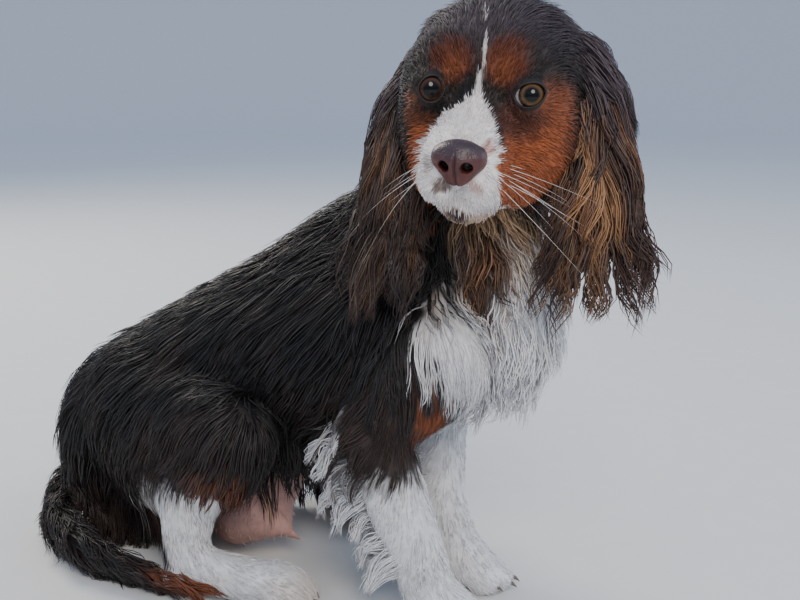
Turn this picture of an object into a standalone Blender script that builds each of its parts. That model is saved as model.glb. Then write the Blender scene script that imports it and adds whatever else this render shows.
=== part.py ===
# A life-size cavalier king charles spaniel, sitting, with its head turned to its right.
# Sizes are in millimetres in the tables, and in metres once a shape is made. The dog faces -Y,
# its left side is +X, and the tables' origin lies on the floor between its forefeet.
import math
import random
from collections import namedtuple

import bmesh
import bpy
from mathutils import Matrix, Vector
from mathutils.bvhtree import BVHTree

MM = 0.001
GAP = 0.3
CLEARANCE = 1.2

# How the head is carried: the point between the eyes, and its turn, nod and tilt in degrees.
EYE_MIDPOINT = (-79, -48, 343)
HEAD_TURN = -78
HEAD_NOD = 14
HEAD_TILT = 4

# The eyes, in the head's own frame: x to its left, -y forward, z up, from the skull's middle.
EYE_SPREAD = 29
EYE_FORWARD = 37
EYE_UP = 3
EYE_RADIUS = 10.8
LID_WIDTH = 10.2
LID_HEIGHT = 8.2
LID_THICKNESS = 1.7
LID_TURN = 12
LID_SLOPE = -0.12

# The ears hang straight down, so their frame has only the head's turn, and this turn out of it.
EAR_SPLAY = 35
# How far each ear swings forward: the left one, then the right one, in degrees.
EAR_SWING = (2, 17)

# Each ball is a centre and its half sizes, (x, y, z). The balls of a mass make one smooth form.
BODY_BALLS = {
    "breastbone": ((-4, -4, 188), (56, 44, 62)),
    "ribs": ((0, 62, 182), (76, 60, 84)),
    "withers": ((0, 76, 228), (44, 50, 48)),
    "waist": ((0, 128, 158), (77, 56, 82)),
    "loin": ((0, 210, 118), (84, 58, 78)),
    "rump": ((0, 280, 84), (84, 56, 72)),
    "seat": ((0, 284, 44), (76, 52, 51)),
    "groin": ((0, 190, 48), (50, 60, 40)),
    "sheath": ((-4, 146, 19), (15, 17, 14)),
    "neck_root": ((0, 30, 230), (60, 66, 62)),
    "neck_top": ((-16, -6, 300), (48, 50, 46)),
    "nape": ((-26, -16, 328), (44, 44, 36)),
    "bib_top": ((-14, -32, 250), (44, 30, 40)),
    "bib": ((-2, -42, 196), (46, 28, 50)),
}
BODY_MASSES = (
    ("breastbone", "ribs"),
    ("ribs", "waist"),
    ("ribs", "withers"),
    ("withers", "waist"),
    ("waist", "loin"),
    ("loin", "rump"),
    ("rump", "seat"),
    ("loin", "groin"),
    ("groin", "seat"),
    ("groin", "sheath"),
    ("breastbone", "neck_root"),
    ("neck_root", "withers"),
    ("neck_root", "neck_top"),
    ("neck_top", "nape"),
    ("neck_top", "bib_top"),
    ("bib_top", "bib"),
)

# The forelegs stand a little to the dog's right, the right one further forward.
RIGHT_FORELEG_BALLS = {
    "shoulder": ((-46, -4, 176), (29, 36, 38)),
    "elbow": ((-58, 36, 128), (23, 26, 24)),
    "wrist": ((-56, 6, 54), (20, 21, 18)),
    "pastern": ((-53, -2, 28), (19, 20, 14)),
    "forepaw": ((-50, -14, 14), (22, 25, 16)),
}
LEFT_FORELEG_BALLS = {
    "shoulder": ((44, -2, 176), (29, 36, 38)),
    "elbow": ((42, 44, 128), (22, 25, 23)),
    "wrist": ((20, 28, 54), (19, 20, 18)),
    "pastern": ((18, 14, 28), (18, 19, 14)),
    "forepaw": ((16, -4, 14), (21, 24, 16)),
}
FORELEG_MASSES = (
    ("shoulder", "elbow"),
    ("elbow", "wrist"),
    ("wrist", "pastern"),
    ("pastern", "forepaw"),
)
# The hind legs are given for the right side, at -X, and mirrored for the left.
HIND_BALLS = {
    "hip": ((-46, 236, 104), (40, 50, 58)),
    "knee": ((-79, 134, 112), (24, 32, 32)),
    "calf": ((-86, 168, 64), (18, 23, 26)),
    "hock": ((-92, 166, 18), (15, 17, 20)),
    "instep": ((-79, 122, 14), (17, 20, 17)),
    "hindpaw": ((-69, 92, 13), (20, 25, 16)),
}
HIND_MASSES = (
    ("hip", "knee"),
    ("knee", "calf"),
    ("calf", "hock"),
    ("hip", "calf"),
    ("hock", "instep"),
    ("instep", "hindpaw"),
)
# The tail curls forward along the right haunch, on the floor.
TAIL_BALLS = {
    "dock": ((-4, 320, 54), (18, 20, 20)),
    "tail_bend": ((-46, 324, 30), (17, 19, 22)),
    "tail_side": ((-86, 292, 23), (16, 20, 20)),
    "tail_middle": ((-105, 250, 20), (14, 24, 19)),
    "tail_end": ((-108, 204, 16), (13, 24, 15)),
    "tail_tip": ((-107, 164, 13), (9, 14, 12)),
}
TAIL_MASSES = (
    ("dock", "tail_bend"),
    ("tail_bend", "tail_side"),
    ("tail_side", "tail_middle"),
    ("tail_middle", "tail_end"),
    ("tail_end", "tail_tip"),
)

# The head's balls are in its own frame. A name with side in it is made on both sides.
HEAD_BALLS = {
    "skull": ((0, 12, 8), (50, 52, 38)),
    "occiput": ((0, 40, 0), (38, 28, 34)),
    "brow_side": ((16, -18, 20), (22, 20, 18)),
    "orbit_side": ((31, -22, 3), (19, 19, 20)),
    "cheek_side": ((34, -12, -24), (20, 32, 31)),
    "jowl_side": ((23, -30, -44), (17, 28, 20)),
    "stop": ((0, -30, -2), (16, 14, 18)),
    "muzzle_root": ((0, -46, -20), (25, 18, 19)),
    "muzzle_side": ((10, -66, -25), (15, 18, 16)),
    "flew_side": ((13, -68, -39), (14, 17, 14)),
    "flew_back_side": ((19, -48, -42), (12, 18, 14)),
    "chin": ((0, -64, -54), (16, 14, 10)),
    "jaw": ((0, -26, -50), (25, 28, 14)),
}
HEAD_MASSES = (
    ("skull", "occiput"),
    ("skull", "brow_side"),
    ("skull", "orbit_side"),
    ("orbit_side", "cheek_side"),
    ("skull", "cheek_side"),
    ("skull", "stop"),
    ("stop", "muzzle_root"),
    ("cheek_side", "jowl_side"),
    ("muzzle_root", "muzzle_side"),
    ("muzzle_root", "jowl_side"),
    ("muzzle_side", "flew_side"),
    ("flew_side", "flew_back_side"),
    ("flew_back_side", "jowl_side"),
    ("jaw", "chin"),
)
NOSE_BALLS = {
    "nose_top": ((0, -83, -15), (11, 7, 6)),
    "nose_wing_side": ((8, -84, -20), (6.5, 7, 7)),
    "nose_tip": ((0, -87, -21), (9, 5, 7)),
    "nose_base": ((0, -84, -29), (7, 5, 5)),
}
NOSE_MASSES = (
    ("nose_top", "nose_tip"),
    ("nose_top", "nose_wing_side"),
    ("nose_tip", "nose_wing_side"),
    ("nose_tip", "nose_base"),
    ("nose_wing_side", "nose_base"),
)
# The nostrils, each a round hole and the slit that curls out of it.
NOSTRIL_BALLS = (
    ((6, -91, -22), (2.6, 5, 2.8)),
    ((10, -90, -25), (4, 4.5, 1.3)),
)
# The line of the mouth and the groove above it, on the head's surface, with their widths.
MOUTH_LINE = (
    (-26, -40, -52),
    (-25, -54, -55),
    (-18, -72, -57),
    (-8, -82, -53),
    (0, -84, -48),
    (8, -82, -53),
    (18, -72, -57),
    (25, -54, -55),
    (26, -40, -52),
)
MOUTH_RADIUS = 1.4
PHILTRUM_LINE = ((0, -86, -32), (0, -86, -40), (0, -85, -48))
PHILTRUM_RADIUS = 1.1
EAR_BALLS = {
    "ear_root": ((45, -14, 14), (17, 10, 14)),
    "ear_fold": ((53, -24, -18), (21, 10, 24)),
    "ear_middle": ((53, -29, -54), (27, 8, 28)),
    "ear_hem": ((54, -30, -80), (30, 7, 24)),
}
EAR_MASSES = (("ear_root", "ear_fold"), ("ear_fold", "ear_middle"), ("ear_middle", "ear_hem"))
# The hollow in the back of each ear.
EAR_CUP = ((52, -16, -44), (17, 8, 36))

# The nodes the ears hang beside.
EAR_NEIGHBOURS = ("head", "neck", "torso", "foreleg_right")

# Each toe is a ball, set out from the middle of its paw, and ends in a claw.
TOES = ((-14, -12, -6), (-5, -20, -6), (5, -20, -6), (14, -12, -6))
TOE_SIZE = (6.8, 12, 9.5)
CLAW_LENGTH = 7
CLAW_RADIUS = 2.2
PAWS = {
    "forepaw_right": ((-50, -14, 14), 8),
    "forepaw_left": ((16, -4, 14), 14),
    "hind_foot_right": ((-69, 92, 14), -10),
    "hind_foot_left": ((69, 92, 14), 10),
}

# Long hair lies in rows of flat, tapered locks. A row is: the node, how many locks, their length,
# width and depth, the way they lie, their habit and the line their roots follow. The habit is how
# much of a lock clings to the body, how far its tip lifts and how far it waves from side to side.
# A row with side in its name is given for the right and mirrored for the left.
Row = namedtuple("Row", "node count size lie habit line")
LOCK_ROWS = {
    "ruff_high": Row(
        "neck", 5, (46, 17, 3.5), (0, -0.2, -1), (0.7, 4, 1),
        ((-62, -34, 264), (-28, -66, 264), (16, -60, 264)),
    ),
    "ruff_low": Row(
        "neck", 5, (40, 19, 3.5), (0, -0.2, -1), (0.7, 5, 1),
        ((-56, -40, 230), (-14, -72, 230), (34, -52, 230)),
    ),
    "nape": Row(
        "neck", 5, (50, 21, 3.5), (0, 0.5, -1), (1, 3, 1),
        ((-66, 22, 300), (-40, 44, 304), (6, 40, 300), (26, 10, 296)),
    ),
    "bib_high": Row(
        "torso", 5, (52, 17, 3.5), (0, -0.1, -1), (0.6, 6, 2),
        ((-40, -52, 196), (-4, -76, 194), (36, -48, 196)),
    ),
    "bib_low": Row(
        "torso", 5, (46, 14, 3.5), (0, 0.1, -1), (0.3, 4, 2),
        ((-30, -46, 160), (-4, -56, 158), (28, -44, 160)),
    ),
    "shoulder_side": Row(
        "torso", 1, (62, 28, 3.5), (0, 0.75, -0.9), (1, 3, 1),
        ((-66, 66, 242), (-44, 90, 262)),
    ),
    "back_side": Row(
        "torso", 4, (62, 28, 3.5), (-0.2, 0.85, -0.7), (1, 3, 1),
        ((-24, 92, 262), (-30, 150, 226), (-34, 210, 190), (-34, 262, 156)),
    ),
    "flank_high_side": Row(
        "torso", 4, (62, 27, 3.5), (0, 0.6, -0.9), (1, 3, 1),
        ((-74, 72, 206), (-74, 140, 188), (-72, 206, 160)),
    ),
    "flank_low_side": Row(
        "torso", 3, (60, 22, 3.5), (0, 0.35, -1), (0.6, 3, 2),
        ((-78, 64, 152), (-80, 122, 146)),
    ),
    "rump_side": Row(
        "torso", 2, (66, 30, 3.5), (0, 0.3, -1), (1, 3, 1),
        ((-66, 304, 132), (-14, 334, 136)),
    ),
    "belly_side": Row(
        "torso", 2, (34, 15, 3.5), (0, 0.2, -1), (0.2, 2, 2),
        ((-34, 116, 74), (-30, 152, 52)),
    ),
    "haunch_high_side": Row(
        "hind_leg_side", 4, (56, 25, 3.5), (0, 0.35, -1), (1, 3, 1),
        ((-88, 142, 148), (-86, 264, 134)),
    ),
    "haunch_low_side": Row(
        "hind_leg_side", 4, (50, 23, 3.5), (0, 0.3, -1), (0.6, 4, 2),
        ((-96, 124, 106), (-98, 188, 100), (-92, 262, 94)),
    ),
    "breeches_side": Row(
        "hind_leg_side", 2, (44, 20, 4), (0, 0.25, -1), (0.3, 4, 2),
        ((-94, 208, 66), (-84, 262, 62)),
    ),
    "shoulder_right": Row(
        "foreleg_right", 2, (56, 25, 3.5), (0, 0.25, -1), (1, 3, 1),
        ((-74, -24, 196), (-80, 36, 196)),
    ),
    "shoulder_left": Row(
        "foreleg_left", 2, (56, 25, 3.5), (0, 0.25, -1), (1, 3, 1),
        ((74, -24, 196), (76, 36, 196)),
    ),
    "upper_arm_right": Row(
        "foreleg_right", 3, (46, 17, 3.5), (0, 0.15, -1), (0.7, 4, 2),
        ((-78, -12, 146), (-82, 46, 146)),
    ),
    "upper_arm_left": Row(
        "foreleg_left", 3, (46, 17, 3.5), (0, 0.15, -1), (0.7, 4, 2),
        ((74, -12, 146), (68, 50, 146)),
    ),
    "feather_right": Row(
        "foreleg_right", 6, (44, 13, 3.5), (-0.1, 0.75, -0.8), (0, 2, 4),
        ((-60, 66, 128), (-58, 44, 84), (-57, 28, 48)),
    ),
    "feather_left": Row(
        "foreleg_left", 5, (38, 13, 3.5), (0.1, 0.75, -0.8), (0, 2, 4),
        ((44, 74, 128), (32, 58, 84), (22, 50, 50)),
    ),
    "plume_top": Row(
        "tail", 4, (46, 18, 3.5), (-0.3, -1, -0.5), (0.6, 2, 3),
        ((-96, 288, 38), (-116, 250, 36), (-118, 200, 30)),
    ),
    "plume_side": Row(
        "tail", 3, (38, 15, 3.5), (-0.5, -1, -0.3), (0.3, 3, 3),
        ((-110, 272, 22), (-120, 226, 18), (-118, 184, 14)),
    ),
    "plume_tip": Row(
        "tail", 2, (30, 11, 3.5), (0.05, -1, -0.05), (0.2, 1, 2),
        ((-112, 160, 16), (-104, 160, 12)),
    ),
    "plume_root": Row(
        "tail_root", 2, (40, 17, 3.5), (-0.8, 0.1, -0.9), (0.8, 3, 2),
        ((-30, 344, 52), (-60, 338, 44)),
    ),
}
# The ears' rows are in the frame they hang in.
EAR_ROWS = {
    "crown": Row(
        "ear_side", 1, (54, 20, 4), (0.05, 0, -1), (1, 2, 2),
        ((40, -26, 14), (62, -18, 8)),
    ),
    "upper": Row(
        "ear_side", 3, (60, 17, 4), (0.08, 0, -1), (1, 3, 3),
        ((34, -36, -22), (54, -40, -26), (72, -30, -20)),
    ),
    "lower": Row(
        "ear_side", 3, (64, 19, 4), (0.08, 0, -1), (0.6, 2, 4),
        ((30, -38, -62), (54, -44, -68), (80, -34, -58)),
    ),
    "hem": Row(
        "ear_side", 4, (52, 15, 4), (0.1, 0, -1), (0.1, 1, 5),
        ((36, -32, -92), (56, -32, -98), (76, -30, -92)),
    ),
}
LOCK_WIDTHS = (0.7, 1, 0.75, 0.1)
LOCK_DEPTHS = (1, 1, 0.8, 0.2)
# How far the locks keep from the skin under them and from the nodes around them.
LOCK_CLEARANCE = 0.7
# How much the coat of locks stands off the body under it.
COAT_DEPTH = 5

# Where the body is parted: a point on each cut and the way out of it.
NECK_CUT = ((0, 10, 236), (-0.1, -0.42, 0.9))
HEAD_CUT = ((-22, -20, 304), (-0.37, -0.1, 0.92))
TAIL_CUT = ((-80, 312, 20), (-0.7, -0.7, 0))
PAW_CUT_HEIGHT = 40
LIMB_INNER = {
    "foreleg_right": ((-18, 0, 0), (1, 0, 0)),
    "foreleg_left": ((2, 0, 0), (-1, 0, 0)),
    "hind_leg_right": ((-28, 0, 0), (1, 0, 0)),
    "hind_leg_left": ((28, 0, 0), (-1, 0, 0)),
}
LIMB_MARGIN = 5
LOCK_ORDER = (
    "tail",
    "tail_root",
    "hind_leg_right",
    "hind_leg_left",
    "foreleg_right",
    "foreleg_left",
    "torso",
    "neck",
    "ear_right",
    "ear_left",
)

# Each node's colour, from the photo, and how rough it is.
COATS = {
    "head": ((0.09, 0.035, 0.02), 0.6),
    "nose": ((0.14, 0.06, 0.06), 0.35),
    "eye": ((0.16, 0.09, 0.04), 0.08),
    "ear": ((0.09, 0.04, 0.028), 0.55),
    "neck": ((0.3, 0.24, 0.2), 0.6),
    "torso": ((0.016, 0.012, 0.013), 0.5),
    "foreleg": ((0.62, 0.6, 0.58), 0.6),
    "forepaw": ((0.66, 0.65, 0.64), 0.6),
    "hind_leg": ((0.02, 0.014, 0.014), 0.5),
    "hind_foot": ((0.6, 0.58, 0.54), 0.6),
    "tail": ((0.02, 0.013, 0.012), 0.55),
}


def mm(values):
    return Vector(values) * MM


def skull_place():
    """The head's frame: its turn, nod and tilt about the point between the eyes."""
    turn = Matrix.Rotation(math.radians(HEAD_TURN), 4, "Z")
    nod = Matrix.Rotation(math.radians(HEAD_NOD), 4, "X")
    tilt = Matrix.Rotation(math.radians(HEAD_TILT), 4, "Y")
    rotation = turn @ nod @ tilt
    between_eyes = rotation @ mm((0, -EYE_FORWARD, EYE_UP))
    return Matrix.Translation(mm(EYE_MIDPOINT) - between_eyes) @ rotation


def ear_place(side):
    """The frame an ear hangs in. The right ear's is mirrored."""
    turn = Matrix.Rotation(math.radians(HEAD_TURN), 4, "Z")
    swing = Matrix.Rotation(math.radians(-EAR_SWING[side < 0]), 4, "X")
    splay = Matrix.Rotation(math.radians(EAR_SPLAY), 4, "Z")
    return Matrix.Translation(skull_place().translation) @ turn @ swing @ mirrored(side) @ splay


def mirrored(side):
    return Matrix.Diagonal((side, 1, 1, 1))


def one_mass(balls, names, frame):
    """One convex form through the named balls."""
    bm = bmesh.new()
    for name in names:
        centre, half_sizes = balls[name]
        shape = Matrix.Translation(mm(centre)) @ Matrix.Diagonal((*mm(half_sizes), 1))
        bmesh.ops.create_uvsphere(bm, u_segments=20, v_segments=12, radius=1, matrix=frame @ shape)
    bmesh.ops.delete(bm, geom=bm.faces[:] + bm.edges[:], context="EDGES_FACES")
    hull = bmesh.ops.convex_hull(bm, input=bm.verts)
    inside = set(hull["geom_interior"] + hull["geom_unused"])
    spare = [item for item in inside if isinstance(item, bmesh.types.BMVert)]
    bmesh.ops.delete(bm, geom=spare, context="VERTS")
    bmesh.ops.recalc_face_normals(bm, faces=bm.faces)
    mesh = bpy.data.meshes.new("mass")
    bm.to_mesh(mesh)
    bm.free()
    return mesh


def masses_mesh(name, groups):
    """All the forms of some (balls, masses, frame) groups in one mesh, still overlapping."""
    bm = bmesh.new()
    for balls, masses, frame in groups:
        for names in masses:
            sides = (1, -1) if any("side" in ball for ball in names) else (1,)
            for side in sides:
                mesh = one_mass(balls, names, frame @ mirrored(side))
                bm.from_mesh(mesh)
                bpy.data.meshes.remove(mesh)
    mesh = bpy.data.meshes.new(name)
    bm.to_mesh(mesh)
    bm.free()
    return mesh


def new_object(name, mesh):
    obj = bpy.data.objects.new(name, mesh)
    bpy.context.scene.collection.objects.link(obj)
    return obj


def bake_modifiers(obj):
    """Replaces the object's mesh with what its modifiers make of it."""
    graph = bpy.context.evaluated_depsgraph_get()
    mesh = bpy.data.meshes.new_from_object(obj.evaluated_get(graph))
    obj.modifiers.clear()
    obj.data = mesh


def fused(name, groups, voxel, smoothing, triangles=None):
    """The groups' forms as one skin, rounded where they meet, with about so many triangles."""
    obj = new_object(name, masses_mesh(name, groups))
    fuse(obj, voxel, smoothing)
    if triangles:
        thin_out(obj, triangles)
    return obj


def fuse(obj, voxel, smoothing):
    remesh = obj.modifiers.new("fuse", "REMESH")
    remesh.mode = "VOXEL"
    remesh.voxel_size = voxel * MM
    smooth = obj.modifiers.new("soften", "SMOOTH")
    smooth.factor = 0.5
    smooth.iterations = smoothing
    bake_modifiers(obj)


def thin_out(obj, triangles):
    obj.data.calc_loop_triangles()
    decimate = obj.modifiers.new("thin", "DECIMATE")
    decimate.ratio = min(1, triangles / len(obj.data.loop_triangles))
    decimate.use_collapse_triangulate = True
    bake_modifiers(obj)


def joined(obj, others, operation):
    """Joins or cuts obj with closed meshes, in one Boolean, and removes them."""
    tools = bpy.data.collections.new("tools")
    for other in others:
        tools.objects.link(other)
    boolean = obj.modifiers.new("boolean", "BOOLEAN")
    boolean.operation = operation
    boolean.operand_type = "COLLECTION"
    boolean.collection = tools
    boolean.solver = "MANIFOLD"
    bake_modifiers(obj)
    for other in others:
        bpy.data.objects.remove(other)
    bpy.data.collections.remove(tools)
    return obj


def copy_of(obj, grow=0.0):
    """A copy, with its surface moved out along its normals by so many millimetres."""
    twin = new_object(obj.name + "_copy", obj.data.copy())
    if grow:
        swell = twin.modifiers.new("swell", "DISPLACE")
        swell.strength = grow * MM
        swell.mid_level = 0
        bake_modifiers(twin)
    return twin


def half_space(point, outward, back=0.0):
    """A large block that fills all that lies beyond a plane moved out by a margin."""
    size = 1.2
    bm = bmesh.new()
    bmesh.ops.create_cube(bm, size=size)
    mesh = bpy.data.meshes.new("block")
    way = Vector(outward).normalized()
    turn = way.to_track_quat("Z", "Y").to_matrix().to_4x4()
    bmesh.ops.transform(bm, matrix=turn, verts=bm.verts)
    bmesh.ops.translate(bm, vec=mm(point) + way * (size / 2 + back * MM), verts=bm.verts)
    bm.to_mesh(mesh)
    bm.free()
    return new_object("block", mesh)


def largest_only(obj):
    """Keeps the largest closed surface of an object."""
    bm = bmesh.new()
    bm.from_mesh(obj.data)
    bmesh.ops.triangulate(bm, faces=bm.faces)
    groups = []
    unseen = set(bm.faces)
    while unseen:
        front = [unseen.pop()]
        group = list(front)
        while front:
            edges = {edge for face in front for edge in face.edges}
            near = {face for edge in edges for face in edge.link_faces} & unseen
            unseen -= near
            front = list(near)
            group += front
        groups.append(group)
    groups.sort(key=lambda faces: sum(face.calc_area() for face in faces), reverse=True)
    spare = [face for group in groups[1:] for face in group]
    bmesh.ops.delete(bm, geom=spare, context="FACES")
    bm.to_mesh(obj.data)
    bm.free()
    return obj


def tidied(obj):
    """Collapses the tiny edges that cuts leave, as far as the surface stays closed."""
    for distance in (0.08, 0.05, 0.03, 0.02, 0.01, 0.005):
        bm = bmesh.new()
        bm.from_mesh(obj.data)
        bmesh.ops.dissolve_degenerate(bm, dist=distance * MM, edges=bm.edges)
        bmesh.ops.triangulate(bm, faces=bm.faces)
        closed = all(len(edge.link_faces) == 2 and edge.is_contiguous for edge in bm.edges)
        whole = all(vertex.is_manifold for vertex in bm.verts)
        if closed and whole:
            bm.to_mesh(obj.data)
            bm.free()
            return
        bm.free()


def parted(whole, name, cutter):
    """Takes the piece inside the cutter out of the whole, a gap apart, and returns it."""
    piece = copy_of(whole)
    piece.name = name
    joined(whole, [copy_of(cutter, GAP)], "DIFFERENCE")
    joined(piece, [cutter], "INTERSECT")
    return largest_only(piece)


def parted_by_plane(whole, name, point, outward):
    piece = copy_of(whole)
    piece.name = name
    joined(whole, [half_space(point, outward)], "DIFFERENCE")
    backward = tuple(-x for x in outward)
    joined(piece, [half_space(point, backward, -GAP)], "DIFFERENCE")
    return largest_only(piece)


def resized(balls, margin):
    sizes = {name: [half + margin for half in halves] for name, (_, halves) in balls.items()}
    return {name: (balls[name][0], sizes[name]) for name in balls}


def limb_cutter(balls, masses, frame, inner=None):
    """A form a little larger than a limb, which ends at the inner plane."""
    cutter = fused("cutter", [(resized(balls, LIMB_MARGIN), masses, frame)], 5, 4, 200)
    if inner:
        joined(cutter, [half_space(*inner)], "DIFFERENCE")
    return cutter


def body_parts():
    """The body from the neck down, parted into its nodes."""
    still = Matrix.Identity(4)
    fore_right = (RIGHT_FORELEG_BALLS, FORELEG_MASSES, still)
    fore_left = (LEFT_FORELEG_BALLS, FORELEG_MASSES, still)
    hind_right = (HIND_BALLS, HIND_MASSES, still)
    hind_left = (HIND_BALLS, HIND_MASSES, mirrored(-1))
    limbs = (
        ("foreleg_right", "forepaw_right", fore_right, LIMB_INNER["foreleg_right"]),
        ("foreleg_left", "forepaw_left", fore_left, LIMB_INNER["foreleg_left"]),
        ("hind_leg_right", "hind_foot_right", hind_right, LIMB_INNER["hind_leg_right"]),
        ("hind_leg_left", "hind_foot_left", hind_left, LIMB_INNER["hind_leg_left"]),
    )
    groups = [
        (resized(BODY_BALLS, -COAT_DEPTH), BODY_MASSES, still),
        (HEAD_BALLS, HEAD_MASSES, skull_place()),
        (resized(TAIL_BALLS, -COAT_DEPTH), TAIL_MASSES, still),
    ]
    groups += [form for _, _, form, _ in limbs]
    whole = fused("torso", groups, 3, 10)
    guide = copy_of(whole)
    thin_out(whole, 2060)
    joined(whole, [half_space((0, 0, 0), (0, 0, -1))], "DIFFERENCE")
    joined(whole, [half_space(HEAD_CUT[0], HEAD_CUT[1])], "DIFFERENCE")
    parts = [whole]
    parts.append(parted_by_plane(whole, "neck", *NECK_CUT))
    tail = parted(whole, "tail", limb_cutter(TAIL_BALLS, TAIL_MASSES, still))
    parts.append(parted_by_plane(tail, "tail_root", TAIL_CUT[0], tuple(-x for x in TAIL_CUT[1])))
    parts.append(tail)
    for limb, foot, form, inner in limbs:
        leg = parted(whole, limb, limb_cutter(*form, inner))
        paw = parted_by_plane(leg, foot, (0, 0, PAW_CUT_HEIGHT), (0, 0, -1))
        parts += [leg, paw]
        add_toes(paw)
        if limb == "hind_leg_right":
            joined(tail, [copy_of(paw, CLEARANCE)], "DIFFERENCE")
            largest_only(tail)
    largest_only(whole)
    return parts, guide


def add_toes(paw):
    """Four toes and their claws, joined to a paw, flat where they meet the floor."""
    middle, turn = PAWS[paw.name]
    frame = Matrix.Translation(mm(middle)) @ Matrix.Rotation(math.radians(turn), 4, "Z")
    toes = []
    for centre in TOES:
        toes.append(ball_object("toe", frame, centre, TOE_SIZE, 8, 5))
        tip = Vector(centre) + Vector((0, -TOE_SIZE[1] - CLAW_LENGTH * 0.1, -2))
        claw = frame @ Matrix.Translation(mm(tip)) @ Matrix.Rotation(math.radians(115), 4, "X")
        toes.append(cone_object("claw", claw, CLAW_RADIUS, CLAW_LENGTH))
    joined(paw, toes, "UNION")
    fuse(paw, 1.2, 1)
    thin_out(paw, 330)
    floor = half_space((0, 0, 0), (0, 0, -1))
    leg = half_space((0, 0, PAW_CUT_HEIGHT), (0, 0, 1), -GAP)
    joined(paw, [floor, leg], "DIFFERENCE")
    largest_only(paw)


def bmesh_object(name, bm):
    mesh = bpy.data.meshes.new(name)
    bm.to_mesh(mesh)
    bm.free()
    return new_object(name, mesh)


def ball_object(name, frame, centre, half_sizes, segments, rings):
    bm = bmesh.new()
    shape = frame @ Matrix.Translation(mm(centre)) @ Matrix.Diagonal((*mm(half_sizes), 1))
    bmesh.ops.create_uvsphere(bm, u_segments=segments, v_segments=rings, radius=1, matrix=shape)
    return bmesh_object(name, bm)


def cone_object(name, frame, radius, length):
    bm = bmesh.new()
    sizes = {"radius1": radius * MM, "radius2": 0.4 * MM, "depth": length * MM}
    bmesh.ops.create_cone(bm, cap_ends=True, segments=4, matrix=frame, **sizes)
    return bmesh_object(name, bm)


def strand_object(name, points, sides, widths, depths):
    """A closed flat strand through some points, with the side ways and sizes at each.

    Its two faces are split into triangles alike, so that they don't cross at its thin sides.
    """
    bm = bmesh.new()
    rings = []
    for number, point in enumerate(points):
        along = points[min(number + 1, len(points) - 1)] - points[max(number - 1, 0)]
        out = along.cross(sides[number]).normalized()
        across = out.cross(along).normalized() * widths[number]
        out *= depths[number]
        corners = [point + way * 0.5 * MM for way in (across, out, -across, -out)]
        rings.append([bm.verts.new(corner) for corner in corners])
    for near, far in zip(rings, rings[1:]):
        for side in (0, 2):
            for middle in (side - 1, side + 1):
                bm.faces.new((near[side], near[middle], far[middle]))
                bm.faces.new((near[side], far[middle], far[side]))
    bm.faces.new(rings[0][::-1])
    bm.faces.new(rings[-1])
    bmesh.ops.recalc_face_normals(bm, faces=bm.faces)
    return bmesh_object(name, bm)


def on_surface(obj, points):
    """The nearest points of an object's surface."""
    tree = BVHTree.FromObject(obj, bpy.context.evaluated_depsgraph_get())
    return [tree.find_nearest(point)[0] for point in points]


def head_parts():
    """The head with its lids, mouth, nose and eyes."""
    place = skull_place()
    lids = {"lid_side": ((EYE_SPREAD, -EYE_FORWARD, EYE_UP), [EYE_RADIUS + LID_THICKNESS] * 3)}
    groups = [
        (resized(BODY_BALLS, -COAT_DEPTH), BODY_MASSES, Matrix.Identity(4)),
        (HEAD_BALLS, HEAD_MASSES, place),
        (lids, (("lid_side",),), place),
    ]
    head = fused("head", groups, 1.6, 6)
    backward = tuple(-x for x in HEAD_CUT[1])
    joined(head, [half_space(HEAD_CUT[0], backward, -GAP)], "DIFFERENCE")
    thin_out(head, 1350)
    largest_only(head)
    groove(head, place, MOUTH_LINE, MOUTH_RADIUS, (0, 0, 1))
    groove(head, place, PHILTRUM_LINE, PHILTRUM_RADIUS, (1, 0, 0))
    parts = [head]
    for side, word in ((1, "left"), (-1, "right")):
        centre = (EYE_SPREAD * side, -EYE_FORWARD, EYE_UP)
        socket = ball_object("socket", place, centre, [EYE_RADIUS + GAP] * 3, 14, 9)
        joined(head, [socket], "DIFFERENCE")
        joined(head, [lid_opening(place, centre, side)], "DIFFERENCE")
        parts.append(ball_object("eye_" + word, place, centre, [EYE_RADIUS] * 3, 14, 9))
    nose = fused("nose", [(NOSE_BALLS, NOSE_MASSES, place)], 0.8, 3)
    holes = [
        ball_object("nostril", place @ mirrored(side), centre, sizes, 8, 5)
        for side in (1, -1)
        for centre, sizes in NOSTRIL_BALLS
    ]
    joined(nose, holes, "DIFFERENCE")
    joined(nose, [copy_of(head, 2 * GAP)], "DIFFERENCE")
    largest_only(nose)
    fuse(nose, 0.5, 1)
    thin_out(nose, 360)
    parts.append(nose)
    largest_only(head)
    return parts


def groove(obj, place, line, radius, side):
    """Cuts a line that follows the surface."""
    points = on_surface(obj, [place @ mm(point) for point in line])
    count = len(points)
    width = [radius * 2] * count
    joined(obj, [strand_object("line", points, [Vector(side)] * count, width, width)], "DIFFERENCE")


def lid_opening(place, centre, side):
    """What lies in front of the eyeball between its lids: an almond, pointed at its corners."""
    turn = Matrix.Rotation(math.radians(side * LID_TURN), 4, "Z")
    frame = place @ Matrix.Translation(mm(centre)) @ turn
    bm = bmesh.new()
    for depth, grow in ((-2, 0.85), (-30, 1.6)):
        for step in range(16):
            height = math.sin(step * math.tau / 16)
            along = LID_WIDTH * grow * math.cos(step * math.tau / 16)
            up = LID_HEIGHT * grow * math.copysign(abs(height) ** 1.25, height)
            bm.verts.new(frame @ mm((along, depth, up - along * side * LID_SLOPE)))
    bmesh.ops.convex_hull(bm, input=bm.verts)
    bmesh.ops.recalc_face_normals(bm, faces=bm.faces)
    return bmesh_object("opening", bm)


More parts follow.
